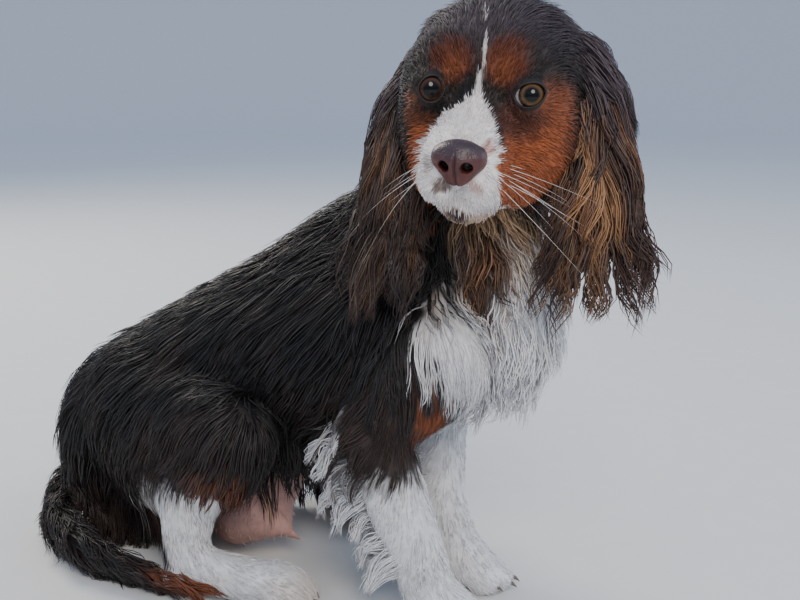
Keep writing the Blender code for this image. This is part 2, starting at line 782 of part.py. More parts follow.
def ear_parts(neighbours):
    parts = []
    for side, word in ((1, "left"), (-1, "right")):
        ear = fused("ear_" + word, [(EAR_BALLS, EAR_MASSES, ear_place(side))], 2, 8)
        joined(ear, [ball_object("cup", ear_place(side), *EAR_CUP, 20, 12)], "DIFFERENCE")
        joined(ear, [copy_of(other, 2 * GAP) for other in neighbours], "DIFFERENCE")
        largest_only(ear)
        fuse(ear, 1.5, 1)
        thin_out(ear, 340)
        joined(ear, [copy_of(other, GAP) for other in neighbours], "DIFFERENCE")
        parts.append(largest_only(ear))
    return parts


def along_line(line, share):
    """The point at a share of the way along a line of points."""
    spans = [(end - start).length for start, end in zip(line, line[1:])]
    left = share * sum(spans)
    for start, end, span in zip(line, line[1:], spans):
        if left <= span:
            return start.lerp(end, left / span)
        left -= span
    return line[-1]


def lock_points(tree, root, lie, row, chance):
    """Where a lock's stations are and which way is out at each."""
    length, _, depth = row.size
    cling, lift, wave = row.habit
    last = len(LOCK_WIDTHS) - 1
    spot, out, _, _ = tree.find_nearest(root)
    way = (lie - out * lie.dot(out)).normalized()
    step = length * chance.uniform(0.88, 1.08) * MM / last
    phase = chance.uniform(0, math.tau)
    points = [spot - out * depth * 0.7 * MM]
    outs = [out]
    place = spot
    for number in range(1, last + 1):
        share = number / last
        height = (depth * 0.5 + LOCK_CLEARANCE + lift * share) * MM
        place = place + way * step
        spot, near, _, _ = tree.find_nearest(place)
        if share <= cling or (place - spot).dot(near) < height:
            out = near
            place = spot + out * height
            way = way + lie * 0.4
            way = (way - out * way.dot(out)).normalized()
        else:
            way = (way + lie * 0.3 + Vector((0, 0, -0.15))).normalized()
        place.z = max(place.z, (depth * 0.6 + 0.5) * MM)
        sway = math.sin(phase + share * 5) * wave * share * MM
        points.append(place + way.cross(out) * sway)
        outs.append(out)
    return points, outs


def row_of_locks(tree, frame, row, seed):
    """The locks of one row, each a closed strand."""
    chance = random.Random(seed)
    line = [frame @ mm(point) for point in row.line]
    lie = (frame.to_3x3() @ Vector(row.lie)).normalized()
    locks = []
    for number in range(row.count):
        share = (number + 0.5 + chance.uniform(-0.12, 0.12)) / row.count
        way = (lie + Vector([chance.uniform(-0.1, 0.1) for _ in range(3)])).normalized()
        points, outs = lock_points(tree, along_line(line, share), way, row, chance)
        sides = []
        for place, out in enumerate(outs):
            along = points[min(place + 1, len(points) - 1)] - points[max(place - 1, 0)]
            sides.append(out.cross(along))
        width = row.size[1] * chance.uniform(0.85, 1.1)
        widths = [width * part for part in LOCK_WIDTHS]
        depths = [row.size[2] * part for part in LOCK_DEPTHS]
        locks.append(strand_object("lock", points, sides, widths, depths))
    return locks


def placed_rows():
    """Every row with the name of its node and the frame its line is given in."""
    rows = []
    for name, row in LOCK_ROWS.items():
        for word, side in (("right", 1), ("left", -1)) if "side" in name else (("", 1),):
            rows.append((row.node.replace("side", word), mirrored(side), row))
    for row in EAR_ROWS.values():
        for word, side in (("left", 1), ("right", -1)):
            rows.append((row.node.replace("side", word), ear_place(side), row))
    return rows


def add_locks(parts, guide):
    """Joins each node's locks to it, clear of the nodes around it."""
    graph = bpy.context.evaluated_depsgraph_get()
    body = BVHTree.FromObject(guide, graph)
    for name in LOCK_ORDER:
        part = parts[name]
        tree = BVHTree.FromObject(part, graph) if name.startswith("ear") else body
        locks = []
        for seed, (node, frame, row) in enumerate(placed_rows()):
            if node == name:
                locks += row_of_locks(tree, frame, row, seed)
        coat = joined(locks[0], locks[1:], "UNION")
        neighbours = [other for node, other in parts.items() if node != name]
        others = [copy_of(other, LOCK_CLEARANCE) for other in neighbours]
        others.append(half_space((0, 0, 0), (0, 0, -1), -GAP))
        joined(coat, others, "DIFFERENCE")
        joined(part, [coat], "UNION")
        largest_only(part)


def finish(parts):
    """Names, colours and places the nodes, with the middle of the base at the origin."""
    collection = bpy.data.collections.new("cavalier_spaniel")
    bpy.context.scene.collection.children.link(collection)
    points = [vertex.co for part in parts for vertex in part.data.vertices]
    low = Vector([min(point[axis] for point in points) for axis in range(3)])
    high = Vector([max(point[axis] for point in points) for axis in range(3)])
    shift = Matrix.Translation(-Vector(((low.x + high.x) / 2, (low.y + high.y) / 2, low.z)))
    for part in parts:
        tidied(part)
        part.data.transform(shift)
        part.data.polygons.foreach_set("use_smooth", [True] * len(part.data.polygons))
        part.data.set_sharp_from_angle(angle=math.radians(40))
        bpy.context.scene.collection.objects.unlink(part)
        collection.objects.link(part)
        kinds = [kind for kind in COATS if part.name.startswith(kind)]
        colour, roughness = COATS[max(kinds, key=len)]
        material = bpy.data.materials.new(part.name)
        material.use_nodes = True
        shader = material.node_tree.nodes["Principled BSDF"]
        shader.inputs["Base Color"].default_value = (*colour, 1)
        shader.inputs["Roughness"].default_value = roughness
        shader.inputs["Metallic"].default_value = 0
        part.data.materials.clear()
        part.data.materials.append(material)


def main():
    for obj in list(bpy.data.objects):
        bpy.data.objects.remove(obj)
    parts, guide = body_parts()
    parts += head_parts()
    parts += ear_parts([part for part in parts if part.name in EAR_NEIGHBOURS])
    named = {part.name: part for part in parts}
    add_locks(named, guide)
    bpy.data.objects.remove(guide)
    finish(parts)


if __name__ == "__main__":
    main()
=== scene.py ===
import math

import bmesh
import bpy
import numpy as np
from mathutils import Matrix, Vector
from mathutils.bvhtree import BVHTree
from mathutils.kdtree import KDTree


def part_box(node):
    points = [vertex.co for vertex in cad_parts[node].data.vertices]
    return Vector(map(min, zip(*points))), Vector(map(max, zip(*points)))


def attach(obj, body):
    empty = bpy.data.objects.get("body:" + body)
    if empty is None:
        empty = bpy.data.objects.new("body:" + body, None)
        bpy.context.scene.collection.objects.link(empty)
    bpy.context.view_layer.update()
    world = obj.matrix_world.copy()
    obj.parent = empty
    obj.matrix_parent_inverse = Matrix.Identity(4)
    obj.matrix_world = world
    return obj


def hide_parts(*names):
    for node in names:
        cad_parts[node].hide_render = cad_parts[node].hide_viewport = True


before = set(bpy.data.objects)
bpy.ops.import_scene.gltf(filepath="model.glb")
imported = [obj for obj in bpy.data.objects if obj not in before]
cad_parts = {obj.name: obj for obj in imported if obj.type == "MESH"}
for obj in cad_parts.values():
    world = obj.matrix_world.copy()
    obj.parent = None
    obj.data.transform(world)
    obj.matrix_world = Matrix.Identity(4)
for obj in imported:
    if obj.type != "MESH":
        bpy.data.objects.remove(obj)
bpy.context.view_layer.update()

# A sitting cavalier king charles spaniel, life size. Tables are in millimetres, in the dog's own
# frame: it faces -y, its left is +x, and the origin is on the floor between its forefeet.
pose = {
    "eyeMidpoint": (-79, -48, 343),
    "headTurn": -78,
    "headNod": 14,
    "headTilt": 4,
    "eyeSpread": 29,
    "eyeForward": 37,
    "eyeUp": 3,
    "eyeRadius": 10.8,
    "earSplay": 35,
    "earSwing": {1: 2, -1: 17},
}


def mm(values):
    return Vector(values) * 0.001


def mirrored(side):
    return Matrix.Diagonal((side, 1, 1, 1))


def linked(name, data):
    # a new object, put into the scene
    obj = bpy.data.objects.new(name, data)
    bpy.context.scene.collection.objects.link(obj)
    return obj


def meshOf(bm, name):
    mesh = bpy.data.meshes.new(name)
    bm.to_mesh(mesh)
    bm.free()
    return mesh


def smoothed(mesh):
    mesh.polygons.foreach_set("use_smooth", [True] * len(mesh.polygons))
    return mesh


def joinRows(bm, rows):
    # the faces between rings of points, each ring and the next
    for first, second in zip(rows, rows[1:]):
        for n in range(len(first)):
            bm.faces.new((first[n], first[n - 1], second[n - 1], second[n]))


def angles(count):
    # the angles of that many points round a circle
    return [2 * math.pi * n / count for n in range(count)]


def headPlace():
    # the head's frame: x to its left, -y forward, z up, from the middle of the skull
    turn = Matrix.Rotation(math.radians(pose["headTurn"]), 4, "Z")
    nod = Matrix.Rotation(math.radians(pose["headNod"]), 4, "X")
    tilt = Matrix.Rotation(math.radians(pose["headTilt"]), 4, "Y")
    rotation = turn @ nod @ tilt
    betweenEyes = rotation @ mm((0, -pose["eyeForward"], pose["eyeUp"]))
    return Matrix.Translation(mm(pose["eyeMidpoint"]) - betweenEyes) @ rotation


def earPlace(side):
    # the ears hang straight down, so they take only the head's turn
    turn = Matrix.Rotation(math.radians(pose["headTurn"]), 4, "Z")
    swing = Matrix.Rotation(math.radians(-pose["earSwing"][side]), 4, "X")
    splay = Matrix.Rotation(math.radians(pose["earSplay"]), 4, "Z")
    middle = Matrix.Translation(headPlace().translation)
    return middle @ turn @ swing @ mirrored(side) @ splay


def eyeCentre(side):
    return headPlace() @ mm((pose["eyeSpread"] * side, -pose["eyeForward"], pose["eyeUp"]))


# The frame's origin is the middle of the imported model's base: the right eye tells how far off.
low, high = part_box("eye_right")
shift = (low + high) / 2 - eyeCentre(-1)
still = Matrix.Identity(4)
head = headPlace()

bodyForms = {
    "breastbone": ((-4, -4, 188), (56, 44, 62)),
    "ribs": ((0, 62, 182), (76, 60, 84)),
    "withers": ((0, 76, 228), (44, 50, 48)),
    "waist": ((0, 128, 158), (77, 56, 82)),
    "loin": ((0, 210, 118), (84, 58, 78)),
    "rump": ((0, 280, 84), (84, 56, 72)),
    "seat": ((0, 284, 44), (76, 52, 51)),
    "groin": ((0, 190, 48), (50, 60, 40)),
    "sheath": ((-17, 142, 25), (13, 22, 15)),
    "tip": ((-16, 122, 17), (9, 12, 9)),
    "fold": ((-30, 170, 40), (29, 29, 38)),
    "foldFar": ((20, 174, 40), (24, 26, 34)),
    "neckRoot": ((0, 30, 230), (60, 66, 62)),
    "neckTop": ((-16, -6, 300), (48, 50, 46)),
    "nape": ((-26, -16, 328), (44, 44, 36)),
    "bibTop": ((-14, -32, 250), (44, 30, 40)),
    "bib": ((-2, -42, 196), (46, 28, 50)),
}
bodyMasses = (
    "breastbone ribs", "ribs waist", "ribs withers", "withers waist", "waist loin", "loin rump",
    "rump seat", "loin groin", "groin seat", "groin fold", "groin foldFar", "fold sheath",
    "foldFar sheath", "sheath tip", "breastbone neckRoot",
    "neckRoot withers", "neckRoot neckTop", "neckTop nape", "neckTop bibTop", "bibTop bib",
)
foreRightForms = {
    "shoulder": ((-46, -4, 176), (29, 36, 38)),
    "elbow": ((-58, 36, 128), (23, 26, 24)),
    "wrist": ((-56, 6, 54), (20, 21, 18)),
    "pastern": ((-53, -2, 28), (19, 20, 14)),
    "forepaw": ((-50, -14, 14), (22, 25, 16)),
}
foreLeftForms = {
    "shoulder": ((44, -2, 176), (29, 36, 38)),
    "elbow": ((42, 44, 128), (22, 25, 23)),
    "wrist": ((20, 28, 54), (19, 20, 18)),
    "pastern": ((18, 14, 28), (18, 19, 14)),
    "forepaw": ((16, 1, 14), (21, 24, 16)),
}
foreMasses = ("shoulder elbow", "elbow wrist", "wrist pastern", "pastern forepaw")
hindForms = {
    "hip": ((-46, 236, 104), (40, 50, 58)),
    "knee": ((-79, 134, 112), (24, 32, 32)),
    "calf": ((-86, 168, 64), (18, 23, 26)),
    "hock": ((-92, 166, 18), (15, 17, 20)),
    "instep": ((-80, 130, 14), (17, 20, 17)),
    "hindpaw": ((-71, 104, 13), (20, 25, 16)),
}
hindMasses = (
    "hip knee", "knee calf", "calf hock", "hip calf", "hock instep", "instep hindpaw",
)
tailForms = {
    "dock": ((-4, 320, 54), (18, 20, 20)),
    "bend": ((-46, 324, 30), (17, 19, 22)),
    "side": ((-86, 292, 23), (16, 20, 20)),
    "middle": ((-105, 250, 20), (14, 24, 19)),
    "end": ((-108, 204, 16), (13, 24, 15)),
    "tip": ((-107, 164, 13), (9, 14, 12)),
}
tailMasses = ("dock bend", "bend side", "side middle", "middle end", "end tip")
# A form of the head with a + is made on both sides.
headForms = {
    "skull": ((0, 12, 8), (50, 52, 38)),
    "occiput": ((0, 40, 0), (38, 28, 34)),
    "brow+": ((16, -18, 20), (22, 20, 18)),
    "orbit+": ((31, -22, 3), (19, 19, 20)),
    "cheek+": ((34, -12, -24), (20, 32, 31)),
    "jowl+": ((23, -30, -44), (17, 28, 20)),
    "stop": ((0, -30, -2), (16, 14, 18)),
    "muzzleRoot": ((0, -46, -20), (25, 18, 19)),
    "muzzle+": ((10, -66, -25), (15, 18, 16)),
    "flew+": ((13, -68, -39), (14, 17, 14)),
    "flewBack+": ((19, -48, -42), (12, 18, 14)),
    "chin": ((0, -64, -54), (16, 14, 10)),
    "jaw": ((0, -26, -50), (25, 28, 14)),
    "lid+": ((29, -37, 3), (13.8, 13.8, 13.8)),
}
headMasses = (
    "skull occiput", "skull brow+", "skull orbit+", "orbit+ cheek+", "skull cheek+", "skull stop",
    "stop muzzleRoot", "cheek+ jowl+", "muzzleRoot muzzle+", "muzzleRoot jowl+", "muzzle+ flew+",
    "flew+ flewBack+", "flewBack+ jowl+", "jaw chin", "lid+",
)
earForms = {
    "root": ((45, -14, 14), (16, 8, 13)),
    "fold": ((53, -24, -18), (19, 7, 22)),
    "middle": ((53, -28, -46), (22, 5, 24)),
    "hem": ((54, -29, -68), (22, 4, 18)),
}
earMasses = ("root fold", "fold middle", "middle hem")
toeForms = {
    "outer": ((-14, -12, -6), (6.8, 12, 9.5)),
    "outerMiddle": ((-5, -20, -6), (6.8, 12, 9.5)),
    "innerMiddle": ((5, -20, -6), (6.8, 12, 9.5)),
    "inner": ((14, -12, -6), (6.8, 12, 9.5)),
}
# Each paw: its middle, how far it turns, and its place in the record.
paws = {
    "ForepawRight": ((-50, -14, 14), 8, "forepaw_right"),
    "ForepawLeft": ((16, 1, 14), 14, "forepaw_left"),
    "HindFootRight": ((-71, 104, 14), -10, "hind_foot_right"),
    "HindFootLeft": ((71, 104, 14), 10, "hind_foot_left"),
}
# How far the skin lies inside each group of forms, under the coat.
coatDepth = {"body": 9, "tail": 9, "fore": 2.2, "hind": 3, "head": 1.4, "toes": 0.8, "ear": 0}


def pawPlace(name):
    middle, turn, _ = paws[name]
    return Matrix.Translation(mm(middle)) @ Matrix.Rotation(math.radians(turn), 4, "Z")


formGroups = [
    ("body", bodyForms, bodyMasses, still),
    ("tail", tailForms, tailMasses, still),
    ("fore", foreRightForms, foreMasses, still),
    ("fore", foreLeftForms, foreMasses, still),
    ("hind", hindForms, hindMasses, still),
    ("hind", hindForms, hindMasses, mirrored(-1)),
    ("head", headForms, headMasses, head),
]
formGroups += [("toes", toeForms, tuple(toeForms), pawPlace(name)) for name in paws]


def addMass(bm, forms, names, place, depth):
    # the smooth hull round some ellipsoids
    hull = bmesh.new()
    for name in names.split():
        centre, half = forms[name]
        size = Matrix.Diagonal((*(mm(half) - mm([depth] * 3)), 1))
        shape = place @ Matrix.Translation(mm(centre)) @ size
        bmesh.ops.create_uvsphere(hull, u_segments=24, v_segments=14, radius=1, matrix=shape)
    bmesh.ops.delete(hull, geom=hull.faces[:] + hull.edges[:], context="EDGES_FACES")
    made = bmesh.ops.convex_hull(hull, input=hull.verts)
    inside = set(made["geom_interior"] + made["geom_unused"])
    inside = [item for item in inside if isinstance(item, bmesh.types.BMVert)]
    bmesh.ops.delete(hull, geom=inside, context="VERTS")
    bmesh.ops.recalc_face_normals(hull, faces=hull.faces)
    mesh = meshOf(hull, "mass")
    bm.from_mesh(mesh)
    bpy.data.meshes.remove(mesh)


def fusedMesh(name, groups, voxel, smoothing):
    # all the masses of the groups as one smooth skin, in metres
    bm = bmesh.new()
    for kind, forms, masses, place in groups:
        for names in masses:
            for side in (1, -1) if "+" in names else (1,):
                addMass(bm, forms, names, place @ mirrored(side), coatDepth[kind])
    obj = linked(name, meshOf(bm, name))
    remesh = obj.modifiers.new("fuse", "REMESH")
    remesh.mode = "VOXEL"
    remesh.voxel_size = voxel * 0.001
    soften = obj.modifiers.new("soften", "SMOOTH")
    soften.factor = 0.5
    soften.iterations = smoothing
    return bakedMesh(obj)


def bakedMesh(obj):
    # what the object's modifiers make, as a plain mesh, and the object is gone
    graph = bpy.context.evaluated_depsgraph_get()
    made = bpy.data.meshes.new_from_object(obj.evaluated_get(graph))
    bpy.data.objects.remove(obj)
    return made


def readVertices(mesh, what):
    values = np.empty(len(mesh.vertices) * 3, np.float32)
    mesh.vertices.foreach_get(what, values)
    return values.reshape(-1, 3).astype(np.float64)


def readPoints(mesh):
    return readVertices(mesh, "co") * 1000


def writePoints(mesh, points):
    mesh.vertices.foreach_set("co", (points * 0.001).astype(np.float32).ravel())
    mesh.update()


def treeOf(mesh):
    # a search tree of the mesh's faces, in mm
    faces = [tuple(face.vertices) for face in mesh.polygons]
    return BVHTree.FromPolygons(readPoints(mesh).tolist(), faces)


def inFrame(place, points):
    # points in mm of the dog's frame, as seen from another frame
    turned = np.array(place.inverted())
    return points @ turned[:3, :3].T + turned[:3, 3] * 1000


def outOfFrame(place, points):
    turned = np.array(place)
    return np.asarray(points, float) @ turned[:3, :3].T + turned[:3, 3] * 1000


def reachFrom(points, centre, half=1.0):
    # how far points lie from a place, as a share of half sizes if there are any
    return np.linalg.norm((points - np.array(centre)) / np.array(half, float), axis=1)


def smoothStep(low, high, values):
    share = np.clip((values - low) / (high - low), 0, 1)
    return share * share * (3 - 2 * share)


def refined(mesh, wanted, cuts=1):
    # splits the faces whose middle is wanted, and evens the new points out
    bm = bmesh.new()
    bm.from_mesh(mesh)
    middles = np.array([face.calc_center_median() for face in bm.faces]) * 1000
    chosen = wanted(middles)
    edges = {edge for face, pick in zip(bm.faces, chosen) if pick for edge in face.edges}
    bmesh.ops.subdivide_edges(bm, edges=list(edges), cuts=cuts, use_grid_fill=True, smooth=0.0)
    middles = np.array([vertex.co for vertex in bm.verts]) * 1000
    near = [vertex for vertex, pick in zip(bm.verts, wanted(middles)) if pick]
    for _ in range(2):
        bmesh.ops.smooth_vert(
            bm, verts=near, factor=0.5, use_axis_x=True, use_axis_y=True, use_axis_z=True
        )
    bmesh.ops.triangulate(bm, faces=[face for face in bm.faces if len(face.verts) > 4])
    bm.to_mesh(mesh)
    bm.free()


def nearLine(points, line):
    # how far each point lies from a broken line
    best = np.full(len(points), 1e9)
    for start, end in zip(line, line[1:]):
        start, end = np.array(start, float), np.array(end, float)
        span = end - start
        share = np.clip((points - start) @ span / (span @ span), 0, 1)
        best = np.minimum(best, np.linalg.norm(points - start - share[:, None] * span, axis=1))
    return best


# The openings between the lids: their middles, half sizes and slope, seen along each lid's frame.
eyes = {
    "lidTurn": 12,
    "lidMiddle": {1: (-1.0, 3.2), -1: (-5.2, 2.2)},
    "lidHalf": {1: (8.5, 6.2), -1: (6, 7)},
    "lidSlope": 0.14,
    "lidThickness": 1.3,
    "creaseDepth": 0.9,
    "socketDepth": 2.2,
    "corneaReach": 1.1,
    "corneaRise": 0.05,
    "edgeReach": 1.02,
    "edgeOut": 0.9,
    "edgeRadius": 0.65,
    "gaze": {1: (0.18, -0.88, 0.34), -1: (0.36, -0.9, 0.2)},
    "irisRadius": {1: 6.8, -1: 7.4},
    "pupilShare": 0.45,
    "irisColour": {1: ("#302210", "#5C4428"), -1: ("#1C110B", "#452B1C")},
    "whiteColour": {1: "#A39894", -1: "#4A3731"},
}
face = {
    "mouthLine": (
        (-26, -40, -52), (-25, -54, -55), (-18, -72, -57), (-8, -82, -53), (0, -84, -48),
        (8, -82, -53), (18, -72, -57), (25, -54, -55), (26, -40, -52),
    ),
    "mouthDepth": 4.2,
    "philtrum": ((0, -88, -30), (0, -88, -40), (0, -86, -50)),
    "philtrumDepth": 1.6,
}


def lidPlace(side):
    turn = Matrix.Rotation(math.radians(side * eyes["lidTurn"]), 4, "Z")
    centre = mm((pose["eyeSpread"] * side, -pose["eyeForward"], pose["eyeUp"]))
    return head @ Matrix.Translation(centre) @ turn @ mirrored(side)


def almond(along):
    # half the height of the opening, as a share, from one corner at -1 to the other at 1
    return np.maximum(1 - np.minimum(np.abs(along), 1) ** 2.2, 0.0) ** 0.62


def lidShare(points, side):
    # below 1 inside the opening between the lids, above 1 outside it
    local = inFrame(lidPlace(side), points)
    middle, half = eyes["lidMiddle"][side], eyes["lidHalf"][side]
    along = (local[:, 0] - middle[0]) / half[0]
    up = (local[:, 2] - middle[1] - (local[:, 0] - middle[0]) * eyes["lidSlope"]) / half[1]
    share = np.abs(up) / np.maximum(almond(along), 0.04)
    share = np.where(np.abs(along) > 1, np.abs(along) * 1.6 + np.abs(up), share)
    return np.where(local[:, 1] > 0, 9.0, share), local


def sculptHead(mesh):
    points = readPoints(mesh)
    radius = pose["eyeRadius"]
    for side in (1, -1):
        share, local = lidShare(points, side)
        reach = np.linalg.norm(local, axis=1)
        way = local / np.maximum(reach, 1e-6)[:, None]
        opening = (share < 1.0) & (reach < radius + 12)
        rim = (share >= 1.0) & (share < 2.4) & (reach < radius + 9) & (local[:, 1] < 0)
        wanted = radius + eyes["lidThickness"] + 1.2 * smoothStep(1.0, 2.4, share)
        blend = 1 - smoothStep(1.3, 2.4, share)
        moved = reach + (wanted - reach) * blend
        # the crease over the upper lid, and the small fold under the lower one
        crease = np.exp(-((share - 2.0) / 0.22) ** 2) * (local[:, 2] > 3)
        fold = np.exp(-((share - 1.9) / 0.2) ** 2) * (local[:, 2] < 0) * 0.6
        moved = moved - (crease + fold) * eyes["creaseDepth"]
        local[opening] = way[opening] * (radius - eyes["socketDepth"])
        local[rim] = way[rim] * moved[rim, None]
        touched = opening | rim
        points[touched] = outOfFrame(lidPlace(side), local)[touched]
    local = inFrame(head, points)
    inHead = local[:, 1] < -20
    inward = np.array((0, 1, 0.25))
    depth = face["mouthDepth"] * np.exp(-((nearLine(local, face["mouthLine"]) / 1.9) ** 2))
    local += inward * (depth * inHead)[:, None]
    depth = face["philtrumDepth"] * np.exp(-((nearLine(local, face["philtrum"]) / 1.2) ** 2))
    local += np.array((0, 1, 0)) * (depth * inHead)[:, None]
    points = np.where(inHead[:, None], outOfFrame(head, local), points)
    writePoints(mesh, points)


# The skin: how finely its forms are fused and smoothed, the height where the face's finer mesh
# begins, how far the soles stand off the floor, and how coarse its unwrapped copy is.
skin = {"voxel": 2.7, "smoothing": 8, "faceBottom": 250, "soles": 0.2, "unwrapFaces": 9000}


def makeSkin():
    mesh = fusedMesh("skin", formGroups, skin["voxel"], skin["smoothing"])

    def inFace(points):
        local = inFrame(head, points)
        inFront = (local[:, 1] < 6) & (np.abs(local[:, 0]) < 60)
        return inFront & (points[:, 2] > skin["faceBottom"])

    def nearFeatures(points):
        local = inFrame(head, points)
        wanted = (nearLine(local, face["mouthLine"]) < 5) & (local[:, 1] < -30)
        wanted |= (nearLine(local, face["philtrum"]) < 4) & (local[:, 1] < -60)
        for side in (1, -1):
            share, lidLocal = lidShare(points, side)
            wanted |= (share < 2.6) & (np.linalg.norm(lidLocal, axis=1) < pose["eyeRadius"] + 8)
        return wanted

    refined(mesh, inFace)
    refined(mesh, nearFeatures)
    sculptHead(mesh)
    points = readPoints(mesh)
    points[:, 2] = np.maximum(points[:, 2], skin["soles"])  # flat where it meets the floor
    writePoints(mesh, points)
    return mesh


print("skin")
skinMesh = makeSkin()
skinTree = treeOf(skinMesh)
print("skin faces", len(skinMesh.polygons))


def linear(code):
    # an sRGB hex colour as linear red, green and blue
    parts = [int(code[n : n + 2], 16) / 255 for n in (1, 3, 5)]
    return tuple(c / 12.92 if c <= 0.04045 else ((c + 0.055) / 1.055) ** 2.4 for c in parts)


coatColours = {
    "dark": "#0C0A0C",
    "brown": "#30201A",
    "crown": "#443840",
    # painted sheen: a slate-purple grey for the top of the head, where the black hair catches the
    # sky
    "tan": "#A5592F",
    "browTan": "#5F2C18",
    "browPale": "#83451F",
    "white": "#E6E6E8",
    "muzzle": "#F6F0EE",
    "cream": "#CBA680",
    "freckle": "#644636",
    "lip": "#331C17",
    "underEye": "#64392B",
    "pink": "#C79C92",
    "bellyHair": "#D9BDB2",
    "earDark": "#3E2E29",
    "earTan": "#7A5439",
    "earPale": "#A67C55",
}
# Soft patches of the coat: where, half sizes, colour, how much of it, and how soft the edge is.
bodyPatches = (
    ((-80, 290, 44), (40, 60, 40), "brown", 0.7, 0.5),
    ((-68, 26, 134), (26, 52, 34), "brown", 0.9, 0.4),
    ((-66, -14, 132), (13, 12, 34), "tan", 0.8, 0.5),
    ((-86, 126, 88), (24, 26, 16), "tan", 0.5, 0.6),
    ((-96, 150, 104), (30, 60, 34), "brown", 0.6, 0.5),
    ((-106, 164, 12), (24, 34, 22), "tan", 0.7, 0.5),
    ((-88, 204, 68), (14, 16, 9), "muzzle", 0.5, 0.7),
)
hindLegPatches = (  # the same on both hind legs
    ((90, 160, 44), (26, 36, 36), "white", 1, 0.15),
    ((80, 112, 10), (32, 64, 26), "white", 1, 0.12),
    ((98, 198, 28), (26, 24, 27), "brown", 1, 0.4),
    ((70, 90, 8), (24, 22, 14), "cream", 0.4, 0.5),
)
legPatches = [
    ((x * side, y, z), *rest) for side in (-1, 1) for (x, y, z), *rest in hindLegPatches
]
legLines = tuple(
    [forms[name][0] for name in ("elbow", "wrist", "pastern", "forepaw")]
    for forms in (foreRightForms, foreLeftForms)
)
headPatches = (
    # painted sheen: the top of the head lighter and slate-purple, as the sky's light on the dark
    # hair
    ((0, 4, 36), (46, 44, 26), "crown", 0.8, 0.4),
    *(((x, -46, -37), (27, 44, 29), "tan", 1, 0.16) for x in (34, -34)),
    ((51, -14, -20), (8, 22, 40), "dark", 0.8, 0.4),
    ((-56, -36, -18), (21, 34, 52), "dark", 0.95, 0.2),
    ((43, -38, -6), (14, 16, 15), "tan", 0.75, 0.6),
    ((-37, -44, -7), (6, 12, 9), "tan", 0.6, 0.5),
    ((25, -46, -9), (14, 14, 10), "underEye", 0.85, 0.4),
    ((-27, -44, -9), (12, 14, 8), "dark", 0.6, 0.4),
    ((13.5, -36, 19), (13, 16, 13), "browTan", 1, 0.3),
    ((13, -38, 16), (7, 12, 7), "browPale", 0.7, 0.6),
    ((-16, -36, 18), (12, 16, 12), "browTan", 1, 0.3),
    ((-15, -38, 14), (7, 12, 7), "browPale", 0.7, 0.6),
    ((-6, -44, 7), (6, 8, 7), "dark", 0.9, 0.4),
    ((8, -48, -70), (24, 48, 15), "cream", 1, 0.2),
)
# Half the width of the white muzzle at each height of the head, to its right and to its left.
muzzleHeights = (-64, -48, -37, -22, -11, -3, 4, 9)
muzzleWidths = {
    -1: (20, 26, 29, 27, 20, 11, 1.2, 0.9),
    1: (20, 20.5, 21.5, 21, 16, 8.6, 2.2, 0.9),
}
blaze = {"line": ((1.5, -46, 4), (2.4, -40, 12), (1, -32, 28), (-5, -8, 43)), "width": 0.85}
muzzleSpots = (
    ((15, -77, -14), (5, 6, 5), "tan", 0.65),
    ((-17, -78, -25), (4, 8, 5), "freckle", 0.5),
    ((-9, -83, -36), (5, 8, 5), "freckle", 0.85),
    ((9, -83, -35), (5, 8, 4), "pink", 0.6),
    ((0, -72, -60), (26, 26, 9), "cream", 0.7),
    ((-3, -82, -55), (11, 16, 4.6), "lip", 1),
)
# How far forward the white of the chest reaches round each side, at each height.
chestHeights = (112, 128, 144, 163, 181, 196, 214, 236, 262)
chestEdges = (-36, -34, -32, -26, -16, -5, 2, -6, -24)


def wander(points, size, seed):
    # smooth noise from a few seeded waves, about -1 to 1
    chance = np.random.default_rng(seed)
    total = np.zeros(len(points))
    for _ in range(6):
        way = chance.normal(size=3)
        way *= 2 * math.pi / (size * chance.uniform(0.6, 1.6)) / np.linalg.norm(way)
        total += np.sin(points @ way + chance.uniform(0, 6.28))
    return total / 3


def mixed(colours, name, share):
    wanted = np.array(linear(coatColours[name]))
    return colours + (wanted - colours) * np.clip(share, 0, 1)[:, None]


def patched(colours, places, patches, ripple, where=1.0):
    for centre, half, name, amount, soft in patches:
        reach = reachFrom(places, centre, half) + ripple
        share = amount * (1 - smoothStep(1 - soft, 1 + soft, reach)) * where
        colours = mixed(colours, name, share)
    return colours


